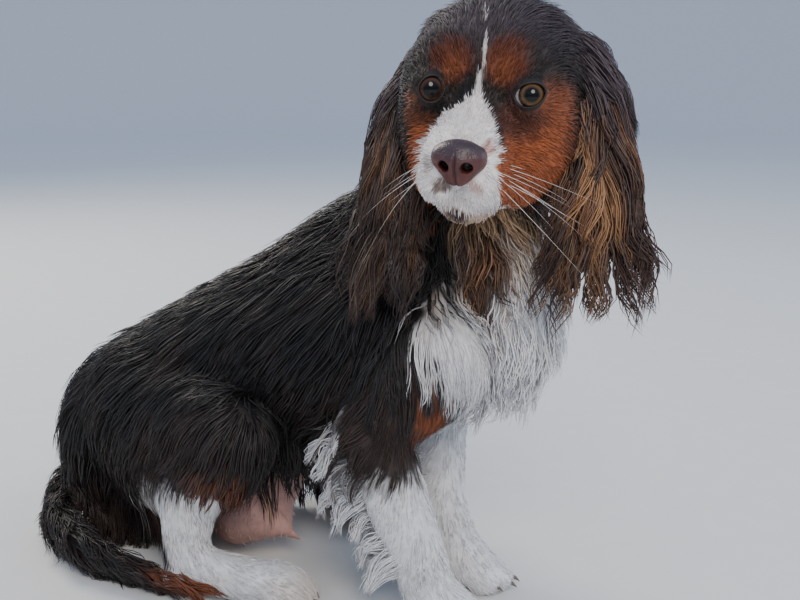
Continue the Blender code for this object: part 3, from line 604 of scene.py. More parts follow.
def coatColour(points):
    # the coat's colour at places in the dog's frame, in mm
    points = np.asarray(points, float)
    x, y, z = points.T
    colours = np.tile(linear(coatColours["dark"]), (len(points), 1))
    ripple = wander(points, 16, 4) * 0.05 + wander(points, 5, 8) * 0.03
    colours = mixed(colours, "brown", smoothStep(-0.3, 1.4, wander(points, 38, 11)) * 0.55)
    # white from the chest down, and the forelegs from above the wrist
    edge = np.interp(z, chestHeights, chestEdges) + wander(points, 22, 5) * 5
    edge += 26 * smoothStep(10, 40, x) * smoothStep(190, 160, z)
    isFront = 1 - smoothStep(-5, 5, y - edge)
    white = isFront * smoothStep(102, 110, z)
    white = white * (1 - smoothStep(262, 272, z + wander(points, 18, 6) * 6))
    legTop = np.where(x < -30, 104, np.where(x < 44, 150, 124)) + wander(points, 14, 7) * 6
    under = (1 - smoothStep(48, 56, np.abs(x - 6))) * (1 - smoothStep(40, 60, y))
    white = np.maximum(white, under * (1 - smoothStep(154, 168, z)))
    onLeg = 1 - smoothStep(30, 36, np.minimum(*(nearLine(points, line) for line in legLines)))
    white = np.maximum(white, (1 - smoothStep(-6, 6, z - legTop)) * onLeg)
    colours = mixed(colours, "white", white)
    throat = smoothStep(222, 250, z + wander(points * (1, 1, 0.5), 12, 6) * 14) * isFront
    throat = throat * (0.5 + 0.25 * wander(points * (1, 1, 0.4), 14, 22))
    colours = mixed(colours, "cream", throat)
    curls = isFront * (1 - smoothStep(-47, -37, x + wander(points, 16, 23) * 3))
    curls *= smoothStep(208, 228, z - 0.6 * (x + 45))
    colours = mixed(colours, "earTan", curls)
    colours = mixed(colours, "brown", curls * (0.45 + 0.5 * wander(points * (1, 1, 0.4), 9, 24)))
    patch = reachFrom(points, (-50, 6, 248), (22, 22, 30)) + ripple
    colours = mixed(colours, "dark", 1 - smoothStep(0.8, 1.2, patch))
    belly = (np.abs(x) < 62) * smoothStep(92, 104, y) * (1 - smoothStep(196, 208, y))
    colours = mixed(colours, "pink", belly * (1 - smoothStep(66, 80, z)))
    colours = patched(colours, points, (*bodyPatches, *legPatches), ripple)
    return headColour(colours, points, ripple)


def headColour(colours, points, ripple):
    local = inFrame(head, points)
    x, y, z = local.T
    near = (np.linalg.norm(local, axis=1) < 104) & (z > -74)
    where = near * smoothStep(-74, -66, z)
    colours = mixed(mixed(colours, "dark", where), "brown", where * 0.55)
    colours = patched(colours, local, headPatches, ripple, where)
    right, left = (np.interp(z, muzzleHeights, muzzleWidths[side]) for side in (-1, 1))
    width = np.where(x < 0, right, left)
    width *= 1 + ripple * 1.5
    white = 1 - smoothStep(-0.8, 1.2, np.abs(x) - width)
    white = white * (y < -38 - 12 * (z < -46)) * (z > -64)
    line = nearLine(local, blaze["line"])
    white = np.maximum(white, (1 - smoothStep(0.6, 1.5, line / blaze["width"])) * 0.85)
    colours = mixed(colours, "muzzle", white * where)
    for centre, half, name, amount in muzzleSpots:
        reach = reachFrom(local, centre, half) + ripple * 3
        colours = mixed(colours, name, amount * (1 - smoothStep(0.6, 1.3, reach)) * near)
    lips = (1 - smoothStep(1.8, 3.0, nearLine(local, face["mouthLine"]) + ripple * 6)) * (y < -40)
    colours = mixed(colours, "lip", lips * near)
    for side in (1, -1):
        share, lid = lidShare(points, side)
        rim = (np.linalg.norm(lid, axis=1) < pose["eyeRadius"] + 6) & near
        colours = mixed(colours, "dark", (1 - smoothStep(1.25, 1.6, share)) * rim * 0.9)
    return colours


def paint(mesh, name, colours):
    layer = mesh.color_attributes.new(name, "FLOAT_COLOR", "POINT")
    values = np.ones((len(colours), 4), np.float32)
    values[:, :3] = colours
    layer.data.foreach_set("color", values.ravel())


# Each stroke of the comb: where, the way the hair lies, and its length, lift and wave.
# A pair is combed the same on the left side. On the head every stroke off the middle is a pair.
bodyComb = (
    ((-48, -10, 285), (-0.1, 0.2, -1), 40, 4, 2),
    ((-16, 36, 300), (0, 0.6, -0.8), 42, 3, 1),
    ((20, 20, 280), (0.2, 0.4, -1), 42, 3, 1.5),
    ((-20, -62, 290), (0.2, -0.2, -1), 36, 8, 5),
    ((-6, -78, 240), (0.1, -0.1, -1), 46, 9, 5),
    ((-6, -76, 190), (0, 0, -1), 52, 7, 3.5),
    ((-46, -48, 210), (0.1, 0, -1), 46, 6, 3.5),
    ((-50, -20, 245), (0.3, -0.1, -1), 40, 7, 5),
    ((40, -46, 210), (0.1, 0.1, -1), 48, 6, 3),
    ((-4, -46, 140), (0, 0.2, -1), 40, 5, 3),
    ((-72, 0, 196), (0, -0.15, -1), 42, 3, 1.5, "pair"),
    ((0, 80, 278), (0, 0.9, -0.45), 42, 3, 1),
    ((0, 160, 235), (0, 0.9, -0.5), 48, 3, 1.2),
    ((0, 250, 190), (0, 0.8, -0.6), 50, 4, 1.5),
    ((0, 330, 120), (0, 0.3, -1), 64, 6, 2),
    ((-50, 90, 250), (-0.3, 0.8, -0.7), 48, 3, 1.2, "pair"),
    ((-78, 80, 190), (0, 0.65, -0.8), 54, 3, 1.5, "pair"),
    ((-84, 150, 150), (0, 0.45, -1), 58, 4, 2, "pair"),
    ((-76, 210, 165), (0, 0.6, -0.9), 56, 4, 1.6, "pair"),
    ((-62, 310, 110), (-0.1, 0.25, -1), 66, 6, 2, "pair"),
    ((-92, 220, 100), (0, 0.3, -1), 44, 4, 2, "pair"),
    ((-86, 120, 152), (0, 0.5, -0.85), 56, 3, 1.5, "pair"),
    ((-92, 140, 140), (0, 0.5, -0.85), 44, 3, 1.5, "pair"),
    ((-100, 130, 112), (0, 0.4, -0.9), 26, 3, 1.5, "pair"),
    ((-76, 98, 124), (0, 0.35, -1), 46, 3, 2, "pair"),
    ((-58, 114, 98), (0, 0.1, -1), 50, 3, 3, "pair"),
    ((-76, 62, 138), (0, 0.5, -0.8), 24, 2, 1, "pair"),
    ((-70, 84, 116), (0, 0.4, -1), 22, 2, 1.5, "pair"),
    ((-92, 134, 86), (0, 0.3, -1), 16, 2, 1, "pair"),
    ((-98, 175, 90), (0, 0.2, -1), 18, 3, 1.5),
    ((98, 175, 90), (0, 0.2, -1), 20, 3, 1.5),
    ((-92, 240, 50), (0, 0.2, -1), 38, 5, 2, "pair"),
    ((0, 150, 60), (0, 0.2, -1), 14, 2, 1),
    ((-38, 108, 92), (0, 0, -1), 64, 3, 3, "pair"),
    ((-66, -16, 130), (0, 0.1, -1), 16, 1.5, 0.6),
    ((44, 0, 120), (0, 0.1, -1), 16, 1.5, 0.6),
    ((-62, -12, 90), (0, 0.1, -1), 8, 0.5, 0.2),
    ((32, 6, 90), (0, 0.1, -1), 8, 0.5, 0.2),
    ((-76, 20, 84), (0, 0.15, -1), 9, 0.5, 0.2),
    ((-62, 66, 118), (-0.2, 1, 0), 50, 2, 4),
    ((-62, 48, 84), (-0.2, 1, 0.1), 46, 2, 4),
    ((-58, 32, 50), (-0.2, 1, 0), 34, 2, 4),
    ((42, 78, 118), (0.2, 1, 0), 46, 2, 4),
    ((30, 62, 80), (0.2, 1, 0), 38, 2, 4),
    ((24, 50, 50), (0.2, 1, 0), 28, 2, 4),
    ((-54, -20, 40), (0, -0.3, -1), 7, 0.8, 0.2),
    ((18, 0, 40), (0, -0.3, -1), 7, 0.8, 0.2),
    ((-50, -36, 20), (0, -0.9, -0.5), 4.5, 0.6, 0.1),
    ((16, -28, 20), (0, -0.9, -0.5), 4.5, 0.6, 0.1),
    ((-98, 160, 50), (0, -0.2, -1), 13, 1.5, 0.5, "pair"),
    ((-90, 166, 26), (0, -0.3, -1), 9, 1, 0.3, "pair"),
    ((-76, 110, 26), (0.1, -1, -0.2), 6, 0.8, 0.2, "pair"),
    ((-46, 336, 34), (-1, -0.2, -0.4), 42, 4, 4),
    ((-92, 304, 24), (-0.6, -0.9, -0.3), 44, 4, 4),
    ((-116, 250, 24), (-0.1, -1, -0.3), 46, 6, 4),
    ((-118, 204, 16), (0.05, -1, -0.2), 42, 5, 3),
    ((-106, 164, 12), (0.15, -1, -0.05), 34, 2, 2),
)
headComb = (
    ((0, -44, 14), (0, 0.4, 1), 5, 0.8, 0.1),
    ((0, -26, 40), (0, 0.8, 0.6), 9, 1.5, 0.2),
    ((0, 10, 48), (0, 1, -0.1), 18, 2.5, 0.4),
    ((0, 60, 20), (0, 0.5, -1), 30, 4, 1),
    ((16, -42, 16), (0.3, 0.3, 1), 6, 0.8, 0.1),
    ((22, -36, 24), (0.5, 0.5, 0.9), 8, 1, 0.2),
    ((32, -24, 30), (0.7, 0.7, 0.4), 12, 1.8, 0.4),
    ((46, -12, 16), (0.8, 0.5, -0.7), 34, 7, 0.8),
    ((34, 10, 38), (0.9, 0.5, -0.3), 28, 5, 0.8),
    ((50, 20, 0), (0.2, 0.6, -0.9), 30, 5, 1.5),
    ((46, -34, 4), (0.7, 0.8, -0.1), 7, 1, 0.2),
    ((30, -50, 14), (0.2, 0.3, 1), 4, 0.8, 0.1),
    ((30, -48, -8), (0.5, 0.5, -0.8), 4, 0.7, 0.1),
    ((34, -42, -16), (0.6, 0.7, -0.5), 7, 1, 0.2),
    ((15, -48, 2), (0.3, 0.6, 0.7), 3.6, 0.6, 0.1),
    ((12, -50, -6), (0.4, 0.9, 0.3), 3.6, 0.6, 0.1),
    ((46, -26, -26), (0.2, 0.9, -0.7), 13, 1.8, 0.4),
    ((34, -44, -46), (0.2, 0.7, -0.8), 13, 1.8, 0.5),
    ((0, -66, -6), (0, 1, 0.3), 3.4, 0.5, 0.1),
    ((14, -72, -14), (0.5, 1, 0.1), 3.8, 0.6, 0.1),
    ((24, -66, -30), (0.4, 0.9, -0.4), 5, 0.8, 0.2),
    ((14, -84, -42), (0.4, 0.3, -0.9), 4.6, 0.8, 0.2),
    ((4, -86, -36), (0.5, 0.1, -0.8), 3, 0.5, 0.1),
    ((24, -60, -50), (0.2, 0.5, -0.9), 6, 1.2, 0.4),
    ((0, -78, -60), (0, 0.3, -1), 6, 1.4, 0.4),
    ((10, -64, -66), (0.1, 0.4, -1), 13, 3, 1.5),
    ((10, -44, -68), (0.1, 0.4, -1), 24, 5, 3),
    ((24, -20, -66), (0.1, 0.3, -1), 32, 6, 4),
)


def combTable():
    rows = []
    for place, lie, length, lift, wave, *pair in bodyComb:
        for side in (1, -1) if pair else (1,):
            at, way = (place[0] * side, *place[1:]), (lie[0] * side, *lie[1:])
            rows.append((at, way, (length, lift, wave)))
    rotation = np.array(head)[:3, :3]
    for place, lie, *habit in headComb:
        for side in (1, -1) if place[0] else (1,):
            at = outOfFrame(head, [(place[0] * side, *place[1:])])[0]
            rows.append((at, rotation @ (lie[0] * side, *lie[1:]), habit))
    places = np.array([row[0] for row in rows], float)
    lies = np.array([row[1] for row in rows], float)
    lies /= np.linalg.norm(lies, axis=1)[:, None]
    return places, lies, np.array([row[2] for row in rows], float)


combPlaces, combLies, combHabits = combTable()


def combed(points):
    # the lie, length, lift and wave of the coat at some places
    lies = np.empty((len(points), 3))
    habits = np.empty((len(points), 3))
    for start in range(0, len(points), 4000):
        some = points[start : start + 4000]
        reach = ((some[:, None] - combPlaces[None]) ** 2).sum(2)
        weight = 1 / (reach + 60) ** 2
        weight /= weight.sum(1)[:, None]
        lies[start : start + 4000] = weight @ combLies
        habits[start : start + 4000] = weight @ combHabits
    lies /= np.maximum(np.linalg.norm(lies, axis=1), 1e-6)[:, None]
    return lies, habits[:, 0], habits[:, 1], habits[:, 2]


def unit(vectors):
    return vectors / np.maximum(np.linalg.norm(vectors, axis=-1, keepdims=True), 1e-9)


def nearest(tree, points):
    found = [tree.find_nearest(point) for point in points.tolist()]
    spots = np.array([hit[0] for hit in found], float)
    outs = np.array([hit[1] for hit in found], float)
    return spots, outs


def scattered(mesh, count, seed, density=None):
    # places spread at random over a mesh, closer where density is higher, and the way out at each
    mesh.calc_loop_triangles()
    corners = np.empty(len(mesh.loop_triangles) * 3, np.int32)
    mesh.loop_triangles.foreach_get("vertices", corners)
    corners = corners.reshape(-1, 3)
    points, normals = readPoints(mesh), readVertices(mesh, "normal")
    a, b, c = (points[corners[:, n]] for n in range(3))
    weight = np.linalg.norm(np.cross(b - a, c - a), axis=1)
    if density:
        weight = weight * density((a + b + c) / 3)
    chance = np.random.default_rng(seed)
    chosen = chance.choice(len(corners), size=count, p=weight / weight.sum())
    first, second = np.sqrt(chance.random(count)), chance.random(count)
    shares = np.stack([1 - first, first * (1 - second), first * second], axis=1)
    places = (points[corners[chosen]] * shares[:, :, None]).sum(1)
    outs = unit((normals[corners[chosen]] * shares[:, :, None]).sum(1))
    return places, outs


coat = {
    "roots": 170000, "quickRoots": 60000, "quickShare": 0.4,
    "rootDepth": 0.8, "rootRise": 0.2, "clearance": 0.6,
}


def grown(tree, roots, outs, lies, length, lift, wave, style, seed):
    # the path of each strand over the body: it lies along it, rises a little and hangs free
    chance = np.random.default_rng(seed)
    count, stations = len(roots), style["stations"]
    step = length / (stations - 1)
    layer = chance.uniform(0.1, 1, count) ** 1.3
    way = unit(lies - outs * (lies * outs).sum(1)[:, None] * (1 - style["stand"]))
    place = roots + outs * coat["rootRise"]
    path, facing = [roots - outs * coat["rootDepth"]], [outs]
    for number in range(1, stations):
        share = number / (stations - 1)
        place = place + way * step[:, None]
        spots, near = nearest(tree, place)
        away = ((place - spots) * near).sum(1)
        height = 0.3 + layer * (style["depth"] * min(share * 2.2, 1) + lift * share**1.5)
        clings = (share <= style["cling"]) & ((near[:, 2] > -0.5) | (style["cling"] >= 1))
        held = (away < height) | clings
        place = np.where(held[:, None], spots + near * height[:, None], place)
        flat = way + lies * 0.5
        flat = unit(flat - near * (flat * near).sum(1)[:, None])
        turning = lies * (0.25 - style["hook"] * share)
        loose = unit(way + turning + np.array((0, 0, -style["fall"])))
        way = np.where(held[:, None], flat, loose)
        outward = np.where(held[:, None], near, facing[-1])
        outward = unit(outward - way * (outward * way).sum(1)[:, None])
        path.append(place)
        facing.append(outward)
    return clumped(np.stack(path, 1), np.stack(facing, 1), length, wave, style, chance)


def clumped(path, facing, length, wave, style, chance):
    # draws the strands together into locks, and waves each lock
    count, stations = path.shape[:2]
    leaders = chance.choice(count, size=max(1, int(count / style["clump"])), replace=False)
    tree = KDTree(len(leaders))
    for number, leader in enumerate(leaders):
        tree.insert(path[leader, 1], number)
    tree.balance()
    own = np.array([tree.find(point)[1] for point in path[:, 1].tolist()])
    lead = leaders[own]
    share = np.linspace(0, 1, stations)
    strength = np.clip(chance.normal(style["pull"], 0.12, len(leaders)), 0, 0.95)[own]
    pull = strength[:, None] * share[None] ** 1.3
    path = path + (path[lead] - path) * pull[:, :, None]
    along = unit(np.gradient(path, axis=1))
    sideways = unit(np.cross(along, facing))
    phase = wander(path[leaders, 0], 60, 31) * 2.2 + chance.normal(0, 0.6, len(leaders))
    phase = phase[own] + chance.normal(0, 0.25, count)
    turns = length[:, None] * share[None] / style["waveLength"] * 2 * math.pi + phase[:, None]
    size = wave[:, None] * share[None] ** 0.8
    path = path + sideways * (np.sin(turns) * size)[:, :, None]
    path = path + facing * (np.cos(turns) * size * style["curl"])[:, :, None]
    drift = chance.normal(0, 1, (count, 1, 3)) * style["stray"]
    path = path + drift * (share**1.5)[None, :, None]
    path[:, :, 2] = np.maximum(path[:, :, 2], coat["clearance"])
    return path, facing, own


# What the maps of each strand say: half the width and the length of its patch of the bake map, as
# shares of that map, and the step along the map of fine hairs, in mm.
strandMaps = {"patchHalf": 0.0013, "patchLength": 0.0028, "fineStep": 14}


def strandMesh(name, path, facing, width, thickness, colours, patches, seed):
    # three-sided tapered strands as one mesh, with their colours, bake map and map of fine hairs
    count, stations = path.shape[:2]
    share = np.linspace(0, 1, stations)
    taper = np.interp(share, (0, 0.15, 0.6, 0.9, 1), (0.7, 1, 0.9, 0.5, 0.05))
    along = unit(np.gradient(path, axis=1))
    across = unit(np.cross(along, facing))
    outward = unit(np.cross(across, along))
    half = (width[:, None] * taper[None] * 0.5)[:, :-1, None]
    rise = thickness * taper[None, :-1, None]
    ring = path[:, :-1]
    left = ring + across[:, :-1] * half - outward[:, :-1] * rise * 0.3
    right = ring - across[:, :-1] * half - outward[:, :-1] * rise * 0.3
    top = ring + outward[:, :-1] * rise * 0.7
    rings = stations - 1
    per = rings * 3 + 1
    around = np.stack([left, right, top], 2).reshape(count, -1, 3)
    points = np.concatenate([around, path[:, -1:]], 1)
    quads = []
    for number in range(rings - 1):
        a, b = number * 3, number * 3 + 3
        quads += [(a, a + 1, b + 1, b), (a + 1, a + 2, b + 2, b + 1), (a + 2, a, b, b + 2)]
    last, tip = (rings - 1) * 3, per - 1
    triangles = [(0, 2, 1)]
    triangles += [(last + n, last + (n + 1) % 3, tip) for n in range(3)]
    pattern = np.array([corner for face in quads + triangles for corner in face])
    loops = (pattern[None] + (np.arange(count) * per)[:, None]).ravel()
    sizes = np.tile(np.array([4] * len(quads) + [3] * len(triangles)), count)
    mesh = bpy.data.meshes.new(name)
    mesh.vertices.add(count * per)
    placed = points.reshape(-1, 3) * 0.001 + np.array(shift)
    mesh.vertices.foreach_set("co", placed.astype(np.float32).ravel())
    mesh.loops.add(len(loops))
    mesh.loops.foreach_set("vertex_index", loops.astype(np.int32))
    mesh.polygons.add(len(sizes))
    starts = np.concatenate([[0], np.cumsum(sizes)[:-1]])
    mesh.polygons.foreach_set("loop_start", starts.astype(np.int32))
    mesh.polygons.foreach_set("use_smooth", np.ones(len(sizes), bool))
    mesh.update(calc_edges=True)
    spread = np.concatenate([np.repeat(colours[:, :-1], 3, axis=1), colours[:, -1:]], 1)
    paint(mesh, "coatColour", spread.reshape(-1, 3))
    lengthwise = np.concatenate([np.repeat(share[:-1], 3), [1]])
    sideways = np.concatenate([np.tile((-1, 1, 0), rings), [0]])
    patch = [sideways * strandMaps["patchHalf"], lengthwise * strandMaps["patchLength"]]
    places = patches[:, None] + np.stack(patch, 1)[None]
    reach = np.linalg.norm(np.diff(path, axis=1), axis=2).sum(1)
    chance = np.random.default_rng(seed)
    fine = np.empty((count, per, 2))
    fine[:, :, 0] = chance.uniform(0, 400, count)[:, None] + sideways[None] * width[:, None] * 0.5
    fine[:, :, 1] = lengthwise[None] * reach[:, None] / strandMaps["fineStep"]
    for layer, values in (("OFBake", places), ("fineHairs", fine)):
        values = values.reshape(-1, 2)[loops].astype(np.float32).ravel()
        mesh.uv_layers.new(name=layer).data.foreach_set("uv", values)
    return mesh


def unwrapped(mesh, size):
    # a coarse copy of a skin with its own unwrap, to say where each root lies on it
    twin = linked("unwrap", mesh.copy())
    thin = twin.modifiers.new("thin", "DECIMATE")
    twin.data.calc_loop_triangles()
    thin.ratio = min(1, size / len(twin.data.loop_triangles))
    coarse = linked("coarse", bakedMesh(twin))
    bpy.context.view_layer.objects.active = coarse
    coarse.select_set(True)
    bpy.ops.object.mode_set(mode="EDIT")
    bpy.ops.mesh.select_all(action="SELECT")
    bpy.ops.mesh.quads_convert_to_tris()
    bpy.ops.uv.smart_project(angle_limit=math.radians(66), island_margin=0.004)
    bpy.ops.object.mode_set(mode="OBJECT")
    made = coarse.data
    points = readPoints(made)
    corners = np.array([tuple(face.vertices) for face in made.polygons])
    places = np.empty(len(made.loops) * 2, np.float32)
    made.uv_layers.active.data.foreach_get("uv", places)
    places = places.reshape(-1, 3, 2).astype(float)
    tree = treeOf(made)
    bpy.data.objects.remove(coarse)
    return tree, points[corners], places


def patchesAt(unwrap, roots):
    tree, corners, places = unwrap
    hits = [tree.find_nearest(root) for root in roots.tolist()]
    spots = np.array([hit[0] for hit in hits], float)
    faces = np.array([hit[2] for hit in hits])
    a, b, c = (corners[faces][:, n] for n in range(3))
    whole = np.cross(b - a, c - a)
    area = np.maximum((whole**2).sum(1), 1e-9)
    second = (np.cross(spots - a, c - a) * whole).sum(1) / area
    third = (np.cross(b - a, spots - a) * whole).sum(1) / area
    shares = np.clip(np.stack([1 - second - third, second, third], 1), 0, 1)
    return (places[faces] * shares[:, :, None]).sum(1)


def addNode(tree, kind, settings=None, **inputs):
    # one node with its settings and what feeds it: a value, or a socket of another node
    node = tree.nodes.new(kind)
    for name, value in (settings or {}).items():
        setattr(node, name, value)
    for name, value in inputs.items():
        key = int(name[1:]) if name[0] == "i" and name[1:].isdigit() else name.replace("_", " ")
        if isinstance(value, bpy.types.NodeSocket):
            tree.links.new(value, node.inputs[key])
        else:
            node.inputs[key].default_value = value
    return node


def newMaterial(name, **values):
    material = bpy.data.materials.new(name)
    material.use_nodes = True
    shader = material.node_tree.nodes["Principled BSDF"]
    for key, value in values.items():
        shader.inputs[key.replace("_", " ")].default_value = value
    return material, material.node_tree, shader


def dappled(tree, shader, shades, contrast, relief, depth):
    # the coat's own colours, made lighter and darker by one noise, with the relief of another
    colour = addNode(tree, "ShaderNodeAttribute", {"attribute_name": "coatColour"})
    level = addNode(
        tree, "ShaderNodeMapRange", Value=shades.outputs["Fac"],
        From_Min=0.3, From_Max=0.7, To_Min=contrast[0], To_Max=contrast[1],
    )
    shaded = addNode(
        tree, "ShaderNodeVectorMath", {"operation": "SCALE"},
        Vector=colour.outputs["Color"], Scale=level.outputs["Result"],
    )
    tree.links.new(shaded.outputs["Vector"], shader.inputs["Base Color"])
    bump = addNode(
        tree, "ShaderNodeBump", Height=relief.outputs["Fac"], Strength=0.5, Distance=depth
    )
    tree.links.new(bump.outputs["Normal"], shader.inputs["Normal"])


def hairMaterial(name, roughness, contrast):
    # dog hair: smooth keratin in fine hairs side by side, each a little lighter or darker
    material, tree, shader = newMaterial(name, Roughness=roughness, IOR=1.55)
    hairs = addNode(tree, "ShaderNodeUVMap", {"uv_map": "fineHairs"})
    grain = addNode(
        tree, "ShaderNodeTexNoise", {"noise_dimensions": "2D"},
        Vector=hairs.outputs["UV"], Scale=3.2, Detail=1.0,
    )
    dappled(tree, shader, grain, (1 - contrast, 1 + contrast), grain, 0.0002)
    return material


def skinMaterial():
    # skin under the coat: the coat's own colours, with a fine grain that runs over it
    material, tree, shader = newMaterial("skin under short fur", Roughness=0.7)
    place = addNode(tree, "ShaderNodeTexCoord").outputs["Object"]
    grain = addNode(tree, "ShaderNodeTexNoise", Vector=place, Scale=700.0, Detail=3.0)
    blotch = addNode(tree, "ShaderNodeTexNoise", Vector=place, Scale=160.0, Detail=2.0)
    dappled(tree, shader, blotch, (0.86, 1.12), grain, 0.0005)
    return material


def grainedMaterial(name, roughness, scale, detail, colours):
    # a surface that drifts between two colours in a fine grain
    material, tree, shader = newMaterial(name, Roughness=roughness)
    place = addNode(tree, "ShaderNodeTexCoord").outputs["Object"]
    grain = addNode(tree, "ShaderNodeTexNoise", Vector=place, Scale=scale, Detail=detail)
    ramp = addNode(tree, "ShaderNodeValToRGB", Fac=grain.outputs["Fac"])
    for stop, colour in zip(ramp.color_ramp.elements, colours):
        stop.color = (*linear(colour), 1)
    tree.links.new(ramp.outputs["Color"], shader.inputs["Base Color"])
    return material


def piece(name, mesh, material, nodes=()):
    obj = linked(name, mesh)
    mesh.materials.clear()
    mesh.materials.append(material)
    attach(obj, "root")
    if nodes:
        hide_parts(*nodes)
    return obj


def placed(mesh):
    # from the dog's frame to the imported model's, with smooth faces
    mesh.transform(Matrix.Translation(shift))
    return smoothed(mesh)


print("unwrap")
skinUnwrap = unwrapped(skinMesh, skin["unwrapFaces"])
materials = {
    "coat": hairMaterial("long silky dog hair", 0.5, 0.22),
    "fur": hairMaterial("short dog fur", 0.6, 0.18),
    "skin": skinMaterial(),
}
# How each kind of hair grows. Its path has that many stations. It keeps to the coat's depth over
# the share that clings, and then falls, stands off or hooks. Strands are pulled together into
# locks of that many, which wave and curl, and their tips stray.
longHair = {
    "stations": 6, "cling": 0, "fall": 0, "stand": 0, "hook": 0, "curl": 0.4, "waveLength": 30,
}
shortHair = {**longHair, "stations": 4, "cling": 1}
styles = {
    "face": {
        **shortHair, "depth": 0.8, "clump": 3, "pull": 0.25, "stray": 0.15,
        "width": 0.5, "thick": 0.26,
    },
    "skull": {
        **shortHair, "depth": 1.6, "clump": 6, "pull": 0.4, "stray": 0.5,
        "width": 0.7, "thick": 0.32,
    },
    "legs": {
        **shortHair, "depth": 0.7, "clump": 4, "pull": 0.3, "stray": 0.2,
        "width": 0.6, "thick": 0.28,
    },
    "body": {
        **longHair, "depth": 6, "cling": 0.85, "fall": 0.4, "clump": 12, "pull": 0.55,
        "waveLength": 46, "stray": 0.8, "width": 1.2, "thick": 0.38,
    },
    "chest": {
        **longHair, "depth": 7, "cling": 0.5, "fall": 0.45, "clump": 14, "pull": 0.65,
        "stray": 1, "width": 1.15, "thick": 0.42,
    },
    "fringe": {
        **longHair, "depth": 2, "fall": 0.6, "stand": 0.2, "clump": 12, "pull": 0.6,
        "waveLength": 40, "stray": 1.2, "width": 1, "thick": 0.38,
    },
    "feather": {
        **longHair, "stations": 8, "depth": 2, "fall": 0.32, "stand": 1, "hook": 0.6,
        "clump": 20, "pull": 0.88, "waveLength": 34, "curl": 1, "stray": 0.8,
        "width": 0.9, "thick": 0.4,
    },
    "tail": {
        **longHair, "stations": 7, "depth": 5, "cling": 0.3, "fall": 0.3, "stand": 0.1,
        "clump": 14, "pull": 0.75, "stray": 0.9, "width": 1.1, "thick": 0.42,
    },
    "ear": {
        **longHair, "stations": 8, "depth": 6, "cling": 0.2, "fall": 0.34,
        "clump": 30, "pull": 0.85, "waveLength": 42, "stray": 0.8, "width": 1, "thick": 0.42,
    },
}


def hairTones(colours, own, stations, seed):
    # colours down each strand: every strand and lock its own shade, dark hair varying the most
    chance = np.random.default_rng(seed)
    light = np.clip(colours.mean(1) / 0.5, 0, 1)
    spread = 0.19 - 0.14 * light
    locks = chance.normal(0, 0.7, own.max() + 1)[own]
    shade = np.clip(1 + spread * (locks + chance.normal(0, 1, len(own))), 0.45, 1.8)
    share = np.linspace(0, 1, stations)[None]
    along = 0.85 + 0.1 * light[:, None] + (0.22 - 0.18 * light[:, None]) * share
    return colours[:, None] * (shade[:, None] * along)[:, :, None]


def coatPiece(name, ground, roots, outs, lies, habits, style, seed, material, colours):
    # one piece of the coat, grown on the ground: a skin's search tree and its unwrap
    length, lift, wave = habits
    tree, unwrap = ground
    chance = np.random.default_rng(seed + 90)
    length = length * chance.uniform(0.7, 1.12, len(roots))
    path, facing, own = grown(tree, roots, outs, lies, length, lift, wave, style, seed)
    tones = hairTones(colours, own, style["stations"], seed)
    width = style["width"] * chance.uniform(0.7, 1.25, len(roots))
    patches = patchesAt(unwrap, roots)
    mesh = strandMesh(name, path, facing, width, style["thick"], tones, patches, seed)
    mesh.calc_loop_triangles()
    print(name, len(roots), "strands", len(mesh.loop_triangles), "triangles")
    return piece(name, mesh, material)


def regionOf(points):
    # which group of forms, and which form of it, each place belongs to
    names, best = [], []
    for kind, forms, masses, place in formGroups:
        for side in (1, -1) if kind == "head" else (1,):
            local = inFrame(place @ mirrored(side), points)
            for mass in masses:
                ends = mass.split()
                first, last = (np.array(forms[end]) for end in (ends[0], ends[-1]))
                for share in (0, 0.35, 0.65, 1) if len(ends) > 1 else (0,):
                    centre, half = first * (1 - share) + last * share
                    best.append(reachFrom(local, centre, half))
                    names.append((kind, ends[0] if share < 0.5 else ends[-1]))
    chosen = np.array(best, np.float32).argmin(0)
    return tuple(np.array(column)[chosen] for column in zip(*names))


def bareHere(points):
    # where no hair grows: between the lids, under the nose pad, in the mouth and on the soles
    bare = points[:, 2] < 1.5
    for side in (1, -1):
        share, local = lidShare(points, side)
        bare |= (share < 1.22) & (np.linalg.norm(local, axis=1) < pose["eyeRadius"] + 6)
    local = inFrame(head, points)
    bare |= (nearLine(local, face["mouthLine"]) < 1.7) & (local[:, 1] < -44)
    underPad = reachFrom(local, (0, -86, -22), (15, 12, 11.5)) < 1
    return bare | underPad


def furDensity(points):
    # how thickly the roots stand: most on the face, more on the legs and over two thin places
    local = inFrame(head, points)
    inHead = (np.linalg.norm(local, axis=1) < 100) & (local[:, 2] > -74)
    low = points[:, 2] < 56
    sparse = reachFrom(np.abs(points), (78, 128, 142)) < 30
    sparse |= reachFrom(points, (-40, -45, 252)) < 24
    headHair = np.where(local[:, 1] < -14, 9, 5)
    return np.where(inHead, headHair, np.where(low, 2.5, 1 + 1.5 * sparse))


def strandShare():
    return 1


